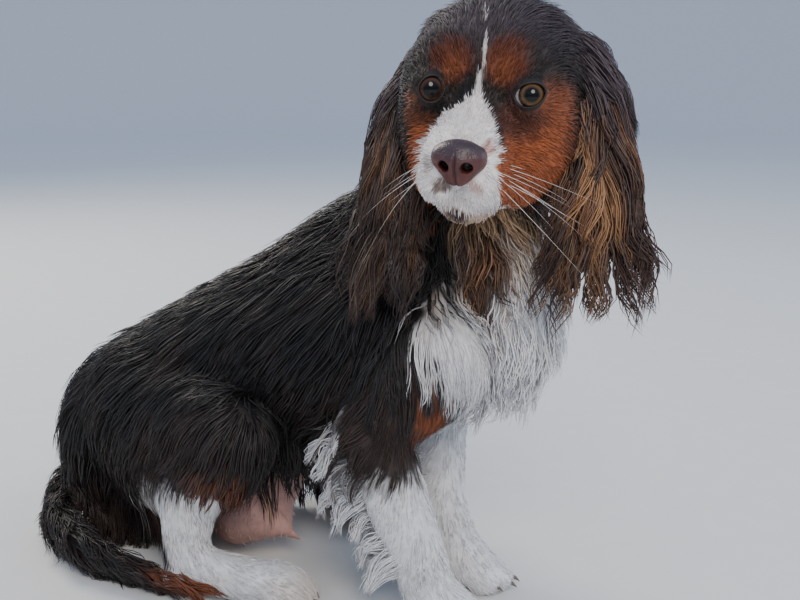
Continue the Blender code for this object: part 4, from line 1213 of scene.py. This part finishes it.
def makeCoat():
    count = coat["roots"]
    roots, outs = scattered(skinMesh, count, 5, furDensity)
    keep = ~bareHere(roots)
    roots, outs = roots[keep], outs[keep]
    kinds, forms = regionOf(roots)
    lies, length, lift, wave = combed(roots)
    chance = np.random.default_rng(3)
    local = inFrame(head, roots)
    toMouth = nearLine(local, face["mouthLine"])
    overMouth = (local[:, 1] < -44) & (local[:, 2] > -56) & (toMouth < 12)
    lipLength = np.minimum(length, np.maximum(0.8, toMouth * 0.9 - 1))
    length = np.where(overMouth, lipLength, length)
    x, y, z = roots.T
    isHead = kinds == "head"
    isFace = isHead & (local[:, 1] < -14)
    isShin = (kinds == "hind") & (z > 24) & (z < 58) & (y > 174 + 0.77 * (z - 31))
    pawForms = ("forepaw", "pastern", "hindpaw", "instep", "hock")
    isPaw = ((kinds == "toes") | np.isin(forms, pawForms)) & ~isShin
    isBelly = (kinds == "body") & (np.abs(x) < 64) & (y > 96) & (y < 204) & (z < 74)
    isBelly &= (outs[:, 2] < 0.25) | (z < 60)
    isFeather = (kinds == "fore") & (length > 19) & ~isPaw & (outs[:, 1] > -0.2)
    isLeg = ((kinds == "fore") & ~isPaw & ~isFeather) | ((forms == "calf") & ~isPaw & ~isShin)
    chestForms = ("breastbone", "bib", "bibTop", "neckTop", "nape", "neckRoot")
    isChest = (kinds == "body") & np.isin(forms, chestForms)
    isTuft = isBelly & (y < 123)
    isFringe = (kinds == "body") & ~isBelly & (z < 126) & (y > 92) & (y < 150) & (np.abs(x) > 16)
    isSeat = np.isin(kinds, ("body", "hind")) & ~isPaw & ~isLeg & ~isBelly
    isSeat &= (z < 64) & (y > 196) & (np.abs(x) > 40)
    isSeat |= isShin
    isFringe |= isSeat
    isTorso = (kinds == "body") & ~isChest & ~isBelly & ~isFringe
    isHind = (kinds == "hind") & ~isPaw & ~isLeg & ~isFringe
    isTail = kinds == "tail"
    # the belly is bare but for sparse pale hairs, and a tuft at the tip of its fold
    length = np.where(isBelly, np.where(isTuft, 11, 5), length)
    length = np.where(isFringe, 36 + 16 * smoothStep(70, 40, np.abs(x)), length)
    length = np.where(isSeat, np.minimum(54, z + 8), length)
    right = x < 0
    groups = (
        ("coatFace", isFace, 11, "face", "fur", "head"),
        ("coatSkull", isHead & ~isFace, 7.4, "skull", "fur", "head"),
        ("coatPaws", isPaw, 5, "legs", "fur", "forepaw_right"),
        ("coatLegs", isLeg, 5, "legs", "fur", "foreleg_right"),
        ("coatFeathering", isFeather, 2.3, "feather", "coat", "foreleg_right"),
        ("coatChest", isChest, 5.7, "chest", "coat", "neck"),
        ("coatTorsoRight", isTorso & right, 6.4, "body", "coat", "torso"),
        ("coatTorsoLeft", isTorso & ~right, 4.5, "body", "coat", "torso"),
        ("coatBelly", isBelly & ~isTuft, 0.3, "face", "fur", "torso"),
        ("coatFringe", isFringe | isTuft, 2.2, "fringe", "coat", "torso"),
        ("coatHaunchRight", isHind & right, 2.9, "body", "coat", "hind_leg_right"),
        ("coatHaunchLeft", isHind & ~right, 2, "body", "coat", "hind_leg_left"),
        ("coatTail", isTail, 2.1, "tail", "coat", "tail"),
    )
    colours = coatColour(roots)
    colours[isBelly] = linear(coatColours["bellyHair"])
    colours[isTuft] = linear(coatColours["white"])
    colours[isTail] = linear(coatColours["dark"])
    colours = mixed(colours, "brown", isShin)
    colours = mixed(colours, "brown", np.where(isTail, 0.3 + 0.3 * wander(roots, 24, 45), 0))
    colours = mixed(colours, "tan", np.where(isTail, 0.44 * smoothStep(215, 165, y), 0))
    streaked = isFringe & (wander(roots, 6, 46) > 0.1) & (z < 84) & (y < 150)
    colours = mixed(colours, "cream", np.where(streaked, 0.6, 0))
    pale = np.clip(0.85 + 0.3 * wander(roots, 9, 44) - 0.5 * smoothStep(120, 138, z), 0, 1)
    pale *= isFeather & (z < 150) & (y > 44)
    colours = mixed(colours, "white", pale)
    for seed, (name, wanted, thousands, style, material, slot) in enumerate(groups):
        chosen = np.flatnonzero(wanted)
        count = min(len(chosen), int(thousands * 1000 * strandShare()))
        chosen = chance.choice(chosen, size=count, replace=False)
        habits = (length[chosen], lift[chosen], wave[chosen])
        coatPiece(
            name, (skinTree, skinUnwrap), roots[chosen], outs[chosen], lies[chosen], habits,
            styles[style], seed, materials[material], colours[chosen],
        )


print("coat")
makeCoat()

paint(skinMesh, "coatColour", coatColour(readPoints(skinMesh)) * 0.85)
fleshNodes = (
    "head", "neck", "torso", "foreleg_left", "foreleg_right", "forepaw_left", "forepaw_right",
    "hind_leg_left", "hind_leg_right", "hind_foot_left", "hind_foot_right", "tail_root", "tail",
)
piece("skin", placed(skinMesh), materials["skin"], fleshNodes)

# The ears: the flap's hair fans out towards the hem and falls in wavy locks.
ears = {
    "voxel": 1.6,
    "smoothing": 6,
    "unwrapFaces": 2500,
    "strands": 3500,
    "topLength": 48,
    "hemLength": 70,
    "fan": 0.05,
    "lift": 3.0,
    "topWave": 1.8,
    "hemWave": 5,
    "tan": {1: 1.25, -1: 0.45},
    "shade": {1: 1, -1: 0.72},
}


def earColour(local, seed, side):
    # dark brown outside, with tan streaks down the middle of the front, and the painted sheen
    # of the crown at its root
    along = wander(local * (1, 1, 0.22), 9, seed)
    streak = np.exp(-(((local[:, 0] - 49) / 14) ** 2)) * smoothStep(16, -8, local[:, 2])
    streak = streak * (1 - 0.5 * smoothStep(-44, -76, local[:, 2]))
    streak = np.clip(streak * (0.55 + 0.7 * along) * ears["tan"][side], 0, 1)
    dark = np.tile(linear(coatColours["earDark"]), (len(local), 1))
    colours = mixed(dark, "earTan", streak)
    pale = np.clip(streak * smoothStep(0.35, 0.9, along), 0, 1) * 0.7
    colours = mixed(colours, "earPale", pale)
    # the ear's root takes the crown's painted sheen
    return mixed(colours, "crown", smoothStep(-10, 14, local[:, 2]) * 0.8) * ears["shade"][side]


def makeEar(side, word):
    place, slot, seed = earPlace(side), "ear_" + word.lower(), 9 + side
    groups = [("ear", earForms, earMasses, place)]
    mesh = fusedMesh("ear" + word, groups, ears["voxel"], ears["smoothing"])
    points = readPoints(mesh)
    ground = treeOf(mesh), unwrapped(mesh, ears["unwrapFaces"])
    chance = np.random.default_rng(70 + side)
    roots, outs = scattered(mesh, int(ears["strands"] * strandShare()), 40 + side)
    local = inFrame(place, roots)
    share = smoothStep(20, -80, local[:, 2])
    fan = (local[:, 0] - 50) * ears["fan"] * (0.3 + 0.7 * share)
    fan += 0.9 * smoothStep(-12, 14, local[:, 2]) * np.clip((66 - local[:, 0]) / 24, 0, 1)
    lie = np.stack([fan, np.zeros(len(local)), -np.ones(len(local))], 1)
    lies = unit(lie @ np.array(place)[:3, :3].T)
    length = ears["topLength"] + (ears["hemLength"] - ears["topLength"]) * share
    length *= chance.uniform(0.8, 1.1, len(roots))
    wave = ears["topWave"] + (ears["hemWave"] - ears["topWave"]) * share
    lift = np.full(len(roots), ears["lift"])
    coatPiece(
        "coatEar" + word, ground, roots, outs, lies, (length, lift, wave), styles["ear"],
        60 + side, materials["coat"], earColour(local, seed, side),
    )
    paint(mesh, "coatColour", earColour(inFrame(place, points), seed, side) * 0.7)
    piece("ear" + word, placed(mesh), materials["skin"], (slot,))


print("ears")
makeEar(1, "Left")
makeEar(-1, "Right")


def gazeOf(side):
    return (head.to_3x3() @ Vector(eyes["gaze"][side])).normalized()


def eyeMaterial(side):
    # a wet eyeball: dark pupil, streaked iris with a dark ring round it, off-white beyond
    word = "left" if side > 0 else "right"
    material, tree, shader = newMaterial("wet eyeball " + word, Roughness=0.03, IOR=1.38)
    gaze = gazeOf(side)
    right = gaze.cross(Vector((0, 0, 1))).normalized()
    up = right.cross(gaze)
    place = addNode(tree, "ShaderNodeTexCoord")
    local = addNode(
        tree, "ShaderNodeVectorMath", {"operation": "SUBTRACT"},
        i0=place.outputs["Object"], i1=tuple(eyeCentre(side) + shift),
    )
    across, rise = (
        addNode(
            tree, "ShaderNodeVectorMath", {"operation": "DOT_PRODUCT"},
            i0=local.outputs["Vector"], i1=tuple(axis),
        )
        for axis in (right, up)
    )
    flat = addNode(
        tree, "ShaderNodeCombineXYZ", X=across.outputs["Value"], Y=rise.outputs["Value"]
    )
    reach, way = (
        addNode(
            tree, "ShaderNodeVectorMath", {"operation": operation}, i0=flat.outputs["Vector"]
        )
        for operation in ("LENGTH", "NORMALIZE")
    )
    # 1 where the ramp ends, a quarter outside the iris
    share = addNode(
        tree, "ShaderNodeMath", {"operation": "DIVIDE"},
        i0=reach.outputs["Value"], i1=eyes["irisRadius"][side] * 0.00125,
    )
    streaks = addNode(
        tree, "ShaderNodeTexNoise", Vector=way.outputs["Vector"], Scale=9.0, Detail=3.0
    )
    shifted = addNode(
        tree, "ShaderNodeMath", {"operation": "MULTIPLY_ADD"},
        i0=streaks.outputs["Fac"], i1=0.08, i2=share.outputs["Value"],
    )
    ramp = addNode(tree, "ShaderNodeValToRGB", Fac=shifted.outputs["Value"])
    inner, outer = eyes["irisColour"][side]
    pupil = eyes["pupilShare"]
    stops = (
        (0.0, "#030303"), (pupil, "#030303"), (pupil + 0.05, inner), (0.66, outer), (0.76, inner),
        (0.81, "#1A100B"), (0.87, "#140D0A"), (0.94, eyes["whiteColour"][side]),
    )
    while len(ramp.color_ramp.elements) < len(stops):
        ramp.color_ramp.elements.new(0.5)
    for number, (spot, colour) in enumerate(stops):
        ramp.color_ramp.elements[number].position = spot
        ramp.color_ramp.elements[number].color = (*linear(colour), 1)
    tree.links.new(ramp.outputs["Color"], shader.inputs["Base Color"])
    return material


def makeEye(side, word, rims):
    slot = "eye_" + word.lower()
    bm = bmesh.new()
    bmesh.ops.create_uvsphere(bm, u_segments=64, v_segments=40, radius=pose["eyeRadius"] * 0.001)
    turn = gazeOf(side).to_track_quat("Z", "Y").to_matrix().to_4x4()
    rim = eyes["corneaReach"]
    for vertex in bm.verts:  # the cornea stands a little proud
        reach = math.hypot(vertex.co.x, vertex.co.y) * 1000 / eyes["irisRadius"][side]
        if vertex.co.z > 0 and reach < rim:
            dome = math.cos(min(reach / rim, 1) * math.pi / 2) ** 2
            vertex.co *= 1 + eyes["corneaRise"] * dome
    bmesh.ops.transform(bm, matrix=Matrix.Translation(eyeCentre(side)) @ turn, verts=bm.verts)
    piece("eye" + word, placed(meshOf(bm, "eye" + word)), eyeMaterial(side), (slot,))
    # a soft dark edge runs round the opening, on the eyeball
    middle, half = eyes["lidMiddle"][side], eyes["lidHalf"][side]
    angle = np.linspace(0, 2 * math.pi, 72, endpoint=False)
    along = np.cos(angle)
    x = middle[0] + half[0] * along * eyes["edgeReach"]
    rise = half[1] * almond(along) * np.sign(np.sin(angle)) * eyes["edgeReach"]
    z = middle[1] + (x - middle[0]) * eyes["lidSlope"] + rise
    out = pose["eyeRadius"] + eyes["edgeOut"]
    y = -np.sqrt(np.maximum(out**2 - x**2 - z**2, 1))
    ring = outOfFrame(lidPlace(side), np.stack([x, y, z], 1))
    mesh = tubeMesh("lidEdge" + word, ring, eyes["edgeRadius"], eyeCentre(side) * 1000)
    piece("lidEdge" + word, placed(mesh), rims)


def tubeMesh(name, ring, radius, middle):
    # a closed round tube along a ring of points
    along = unit(np.roll(ring, -1, 0) - np.roll(ring, 1, 0))
    outward = unit(ring - np.array(middle))
    outward = unit(outward - along * (outward * along).sum(1)[:, None])
    across = np.cross(along, outward)
    points = []
    for angle in angles(8):
        points.append(ring + (outward * math.cos(angle) + across * math.sin(angle)) * radius)
    bm = bmesh.new()
    rows = [
        [bm.verts.new(point) for point in row] for row in (np.stack(points, 1) * 0.001).tolist()
    ]
    joinRows(bm, rows[::-1] + rows[-1:])
    bmesh.ops.recalc_face_normals(bm, faces=bm.faces)
    return meshOf(bm, name)


print("eyes")
# the wet bare edge of the lids, almost black
lidEdge = grainedMaterial("dark wet lid edge", 0.6, 1500.0, 2.0, ("#0D0807", "#1D110F"))
makeEye(1, "Left", lidEdge)
makeEye(-1, "Right", lidEdge)

# The nose pad, in the head's frame.
noseForms = {
    "top": ((0, -81, -16), (12, 8, 5.6)),
    "wing+": ((8.8, -80, -20.5), (6.6, 8, 7.2)),
    "tip": ((0, -87, -21), (9, 5, 7)),
    "base": ((0, -84, -30), (7, 5, 5)),
}
noseMasses = ("top tip", "top wing+", "tip wing+", "tip base", "wing+ base")
nose = {
    "voxel": 0.5,
    "smoothing": 4,
    "nostril": ((6.3, -92, -23.0), (3.5, 9, 3.6)),
    "slit": ((7.5, -92, -25.0), (10.5, -90, -27.0), (13.5, -86, -26.5)),
    "nostrilDepth": 5.5,
    "slitDepth": 4,
    "grooveDepth": 1.3,
    "topColour": "#33222A",
    "lowColour": "#54241E",
}
coatDepth["nose"] = 0


def noseMaterial():
    # bare nose leather: moist, pebbled, purple-grey on top and liver below
    material, tree, shader = newMaterial(
        "pebbled nose leather", Roughness=0.42, Coat_Weight=0.1, Coat_Roughness=0.3
    )
    place = addNode(tree, "ShaderNodeTexCoord").outputs["Object"]
    cells = addNode(tree, "ShaderNodeTexVoronoi", Vector=place, Scale=1000.0)
    bump = addNode(
        tree, "ShaderNodeBump", {"invert": True},
        Height=cells.outputs["Distance"], Strength=0.7, Distance=0.0003,
    )
    colour = addNode(tree, "ShaderNodeAttribute", {"attribute_name": "coatColour"})
    tree.links.new(colour.outputs["Color"], shader.inputs["Base Color"])
    tree.links.new(bump.outputs["Normal"], shader.inputs["Normal"])
    return material


def makeNose():
    groups = [("nose", noseForms, noseMasses, head)]
    mesh = fusedMesh("nose", groups, nose["voxel"], nose["smoothing"])
    local = inFrame(head, readPoints(mesh))
    hollow = np.zeros(len(local))
    centre, half = nose["nostril"]
    for side in (1, -1):
        hole = reachFrom(local, (centre[0] * side, *centre[1:]), half)
        slit = nearLine(local * (side, 1, 1), nose["slit"])
        hollow = np.maximum(hollow, nose["nostrilDepth"] * (1 - smoothStep(0.55, 1.1, hole)))
        hollow = np.maximum(hollow, nose["slitDepth"] * (1 - smoothStep(0.6, 2.2, slit)))
    groove = np.exp(-((local[:, 0] / 0.75) ** 2)) * smoothStep(-14, -20, local[:, 2])
    top, below = np.array(linear(nose["topColour"])), np.array(linear(nose["lowColour"]))
    colours = below + (top - below) * smoothStep(-24, -14, local[:, 2])[:, None]
    colours *= (1 + 0.2 * wander(local, 6, 3))[:, None]
    # painted shade: the nostrils and slits go nearly black the deeper they are hollowed, and the
    # groove down the middle half as dark
    shade = (1 - 0.92 * smoothStep(1.2, 4.2, hollow))[:, None] * (1 - 0.5 * groove)[:, None]
    colours *= shade
    local[:, 1] += hollow + groove * nose["grooveDepth"]
    writePoints(mesh, outOfFrame(head, local))
    paint(mesh, "coatColour", colours)
    piece("nosePad", placed(mesh), noseMaterial(), ("nose",))


print("nose")
makeNose()

claws = {
    "length": 4, "radius": 1.4, "tipRadius": 0.15, "flatness": 0.75, "droop": 34,
    "inset": 1.5, "lower": 1.2,
}


def makeClaws(word, horn):
    # a tapered, drooping claw at the tip of each toe
    rings, sides, lowest = 7, 12, 0.0004
    droop = math.tan(math.radians(claws["droop"]))
    bm = bmesh.new()
    for centre, half in toeForms.values():
        rows = []
        for row in range(rings):
            share = row / (rings - 1)
            radius = claws["radius"] * (1 - share**1.6) + claws["tipRadius"]
            forward = -claws["length"] * share
            drop = -claws["length"] * droop * share**1.7
            ahead, down = -half[1] + claws["inset"] + forward, -claws["lower"] + drop
            middle = Vector(centre) + Vector((0, ahead, down))
            points = []
            for angle in angles(sides):
                across = math.cos(angle) * radius * claws["flatness"]
                around = Vector((across, 0, math.sin(angle) * radius))
                point = pawPlace(word) @ mm(middle + around)
                point.z = max(point.z, lowest)
                points.append(bm.verts.new(point))
            rows.append(points)
        joinRows(bm, rows)
        bm.faces.new(rows[0])
        bm.faces.new(rows[-1][::-1])
    bmesh.ops.recalc_face_normals(bm, faces=bm.faces)
    piece("claws" + word, placed(meshOf(bm, "claws" + word)), horn)


print("claws")
# claw horn: hard, half shiny, streaked in grey-brown
clawHorn = grainedMaterial("claw horn", 0.35, 800.0, 3.0, ("#3A302B", "#8A7A6C"))
for word in paws:
    makeClaws(word, clawHorn)

whiskers = {
    "seed": 5, "perSide": 9, "rootWidth": 0.16, "length": (34, 62), "bend": 0.55, "steps": 14,
}


def bristleTree(name, material):
    # nodes that make each line of a mesh a round bristle, thick at its start and fine at its end
    tree = bpy.data.node_groups.new(name, "GeometryNodeTree")
    socket = tree.interface.new_socket
    socket("Lines", in_out="INPUT", socket_type="NodeSocketGeometry")
    width = socket("Root width", in_out="INPUT", socket_type="NodeSocketFloat")
    socket("Bristles", in_out="OUTPUT", socket_type="NodeSocketGeometry")
    start = addNode(tree, "NodeGroupInput")
    curves = addNode(tree, "GeometryNodeMeshToCurve", Mesh=start.outputs["Lines"])
    along = addNode(tree, "GeometryNodeSplineParameter")
    taper = addNode(
        tree, "ShaderNodeMapRange", Value=along.outputs["Factor"], To_Min=1.0, To_Max=0.12
    )
    scaled = addNode(
        tree, "ShaderNodeMath", {"operation": "MULTIPLY"},
        i0=taper.outputs["Result"], i1=start.outputs["Root width"],
    )
    circle = addNode(tree, "GeometryNodeCurvePrimitiveCircle", Resolution=6, Radius=0.001)
    tubes = addNode(
        tree, "GeometryNodeCurveToMesh",
        Curve=curves.outputs["Curve"], Profile_Curve=circle.outputs["Curve"],
        Scale=scaled.outputs["Value"], Fill_Caps=True,
    )
    real = addNode(tree, "GeometryNodeRealizeInstances", Geometry=tubes.outputs["Mesh"])
    covered = addNode(
        tree, "GeometryNodeSetMaterial", Geometry=real.outputs["Geometry"], Material=material
    )
    end = addNode(tree, "NodeGroupOutput")
    tree.links.new(covered.outputs["Geometry"], end.inputs["Bristles"])
    return tree, width.identifier


def whiskerLines():
    # lines from roots in rows on each side of the muzzle, in the dog's frame
    chance = np.random.default_rng(whiskers["seed"])
    share = np.linspace(0, 1, whiskers["steps"])[:, None]
    lines = []
    for side in (1, -1):
        for number in range(whiskers["perSide"]):
            row, column = divmod(number, 3)
            down = -27 - 5 * row + chance.normal(0, 1)
            root = np.array((19.5 + 1.5 * row, -76 + 5.5 * column, down))
            way = np.array((0.75, 0.1 + 0.3 * column, -0.25 - 0.2 * row))
            way = way + chance.normal(0, 0.1, 3)
            bend = np.array((0.1, 0.5, -0.45)) + chance.normal(0, 0.12, 3)
            size = chance.uniform(*whiskers["length"])
            root, way, bend = (vector * (side, 1, 1) for vector in (root, way, bend))
            path = root + size * (unit(way) * share + bend * whiskers["bend"] * share**2)
            lines.append(outOfFrame(head, path))
    return lines


def bristlePiece(name, lines, material, width):
    points = np.concatenate(lines) * 0.001
    edges, start = [], 0
    for line in lines:
        edges += [(start + n, start + n + 1) for n in range(len(line) - 1)]
        start += len(line)
    mesh = bpy.data.meshes.new(name + "Lines")
    mesh.from_pydata(points.tolist(), edges, [])
    source = linked(name + "Lines", mesh)
    tree, socket = bristleTree(name, material)
    modifier = source.modifiers.new("bristles", "NODES")
    modifier.node_group = tree
    modifier[socket] = width
    piece(name, placed(bakedMesh(source)), material)


print("whiskers")
# stiff pale bristle, a little yellow in places
bristle = grainedMaterial("pale stiff whisker", 0.3, 300.0, 2.0, ("#CFC8BC", "#F4F1EA"))
bristlePiece("whiskers", whiskerLines(), bristle, whiskers["rootWidth"])

# The camera stands as the photographer did, in the dog's frame: metres and degrees.
studio = {
    "focalMm": 51.975,
    "sensorMm": 36,
    "pitch": 11.7,
    "height": 0.36,
    "heading": 30,
    "back": 0.74,
    "aside": -0.042,
    "nearest": 0.01,
    "floorRadius": 5,
    "sweepRadius": 2.4,
    "skyColour": "#BDD0F0",
    "skyStrength": 1.0,
}
# Each light: where, what it looks at, its size, its power and its colour.
lights = {
    "key": ((-1.9, -1.5, 1.9), (0, 0, 0.2), 1.4, 55, "#FFF3E2"),
    "fill": ((1.4, -2.0, 1.2), (0, 0, 0.2), 1.8, 18, "#F2F6FF"),
    "rim": ((0.6, 1.8, 1.7), (0, 0, 0.25), 1.0, 40, "#FFF3E0"),
}


def makeFloor():
    # one pale floor that sweeps up far behind the dog on every side
    flat, sweep, sides, steps = studio["floorRadius"], studio["sweepRadius"], 96, 16
    profile = [(flat, 0)]
    for step in range(1, steps + 1):
        angle = math.pi / 2 * step / steps
        profile.append((flat + sweep * math.sin(angle), sweep * (1 - math.cos(angle))))
    bm = bmesh.new()
    rows = []
    for reach, height in profile:
        spots = [(reach * math.cos(angle), reach * math.sin(angle)) for angle in angles(sides)]
        rows.append([bm.verts.new((*spot, height)) for spot in spots])
    bm.faces.new(rows[0])
    joinRows(bm, rows)
    mesh = smoothed(meshOf(bm, "floor"))
    # matt plain paper, with the faintest drift of shade
    colours = ("#D2D3D2", "#DADAD8")
    mesh.materials.append(grainedMaterial("plain pale floor", 0.8, 40.0, 4.0, colours))
    linked("floor", mesh)


def aimed(obj, place, way):
    # stands an object at a place, looking along a way
    obj.location = place
    obj.rotation_mode = "QUATERNION"
    obj.rotation_quaternion = way.to_track_quat("-Z", "Y")


def addLight(name, place, aim, size, power, colour):
    light = bpy.data.lights.new(name, "AREA")
    light.shape, light.size = "DISK", size
    light.energy = power
    light.color = linear(colour)
    aimed(linked(name, light), place, Vector(aim) - Vector(place))


def makeStudio():
    world = bpy.data.worlds.new("studio")
    world.use_nodes = True
    sky = world.node_tree.nodes["Background"].inputs
    sky["Color"].default_value = (*linear(studio["skyColour"]), 1)
    sky["Strength"].default_value = studio["skyStrength"]
    bpy.context.scene.world = world
    for name, values in lights.items():
        addLight(name, *values)
    heading, pitch = math.radians(studio["heading"]), math.radians(studio["pitch"])
    ahead = Vector((math.cos(heading), math.sin(heading), 0))
    right = Vector((math.sin(heading), -math.cos(heading), 0))
    look = ahead * math.cos(pitch) - Vector((0, 0, math.sin(pitch)))
    stand = right * studio["aside"] - ahead * studio["back"] + Vector((0, 0, studio["height"]))
    camera = linked("camera", bpy.data.cameras.new("camera"))
    camera.data.lens = studio["focalMm"]
    camera.data.sensor_width = studio["sensorMm"]
    camera.data.clip_start = studio["nearest"]
    aimed(camera, stand + shift, look)
    bpy.context.scene.camera = camera


print("studio")
makeFloor()
makeStudio()
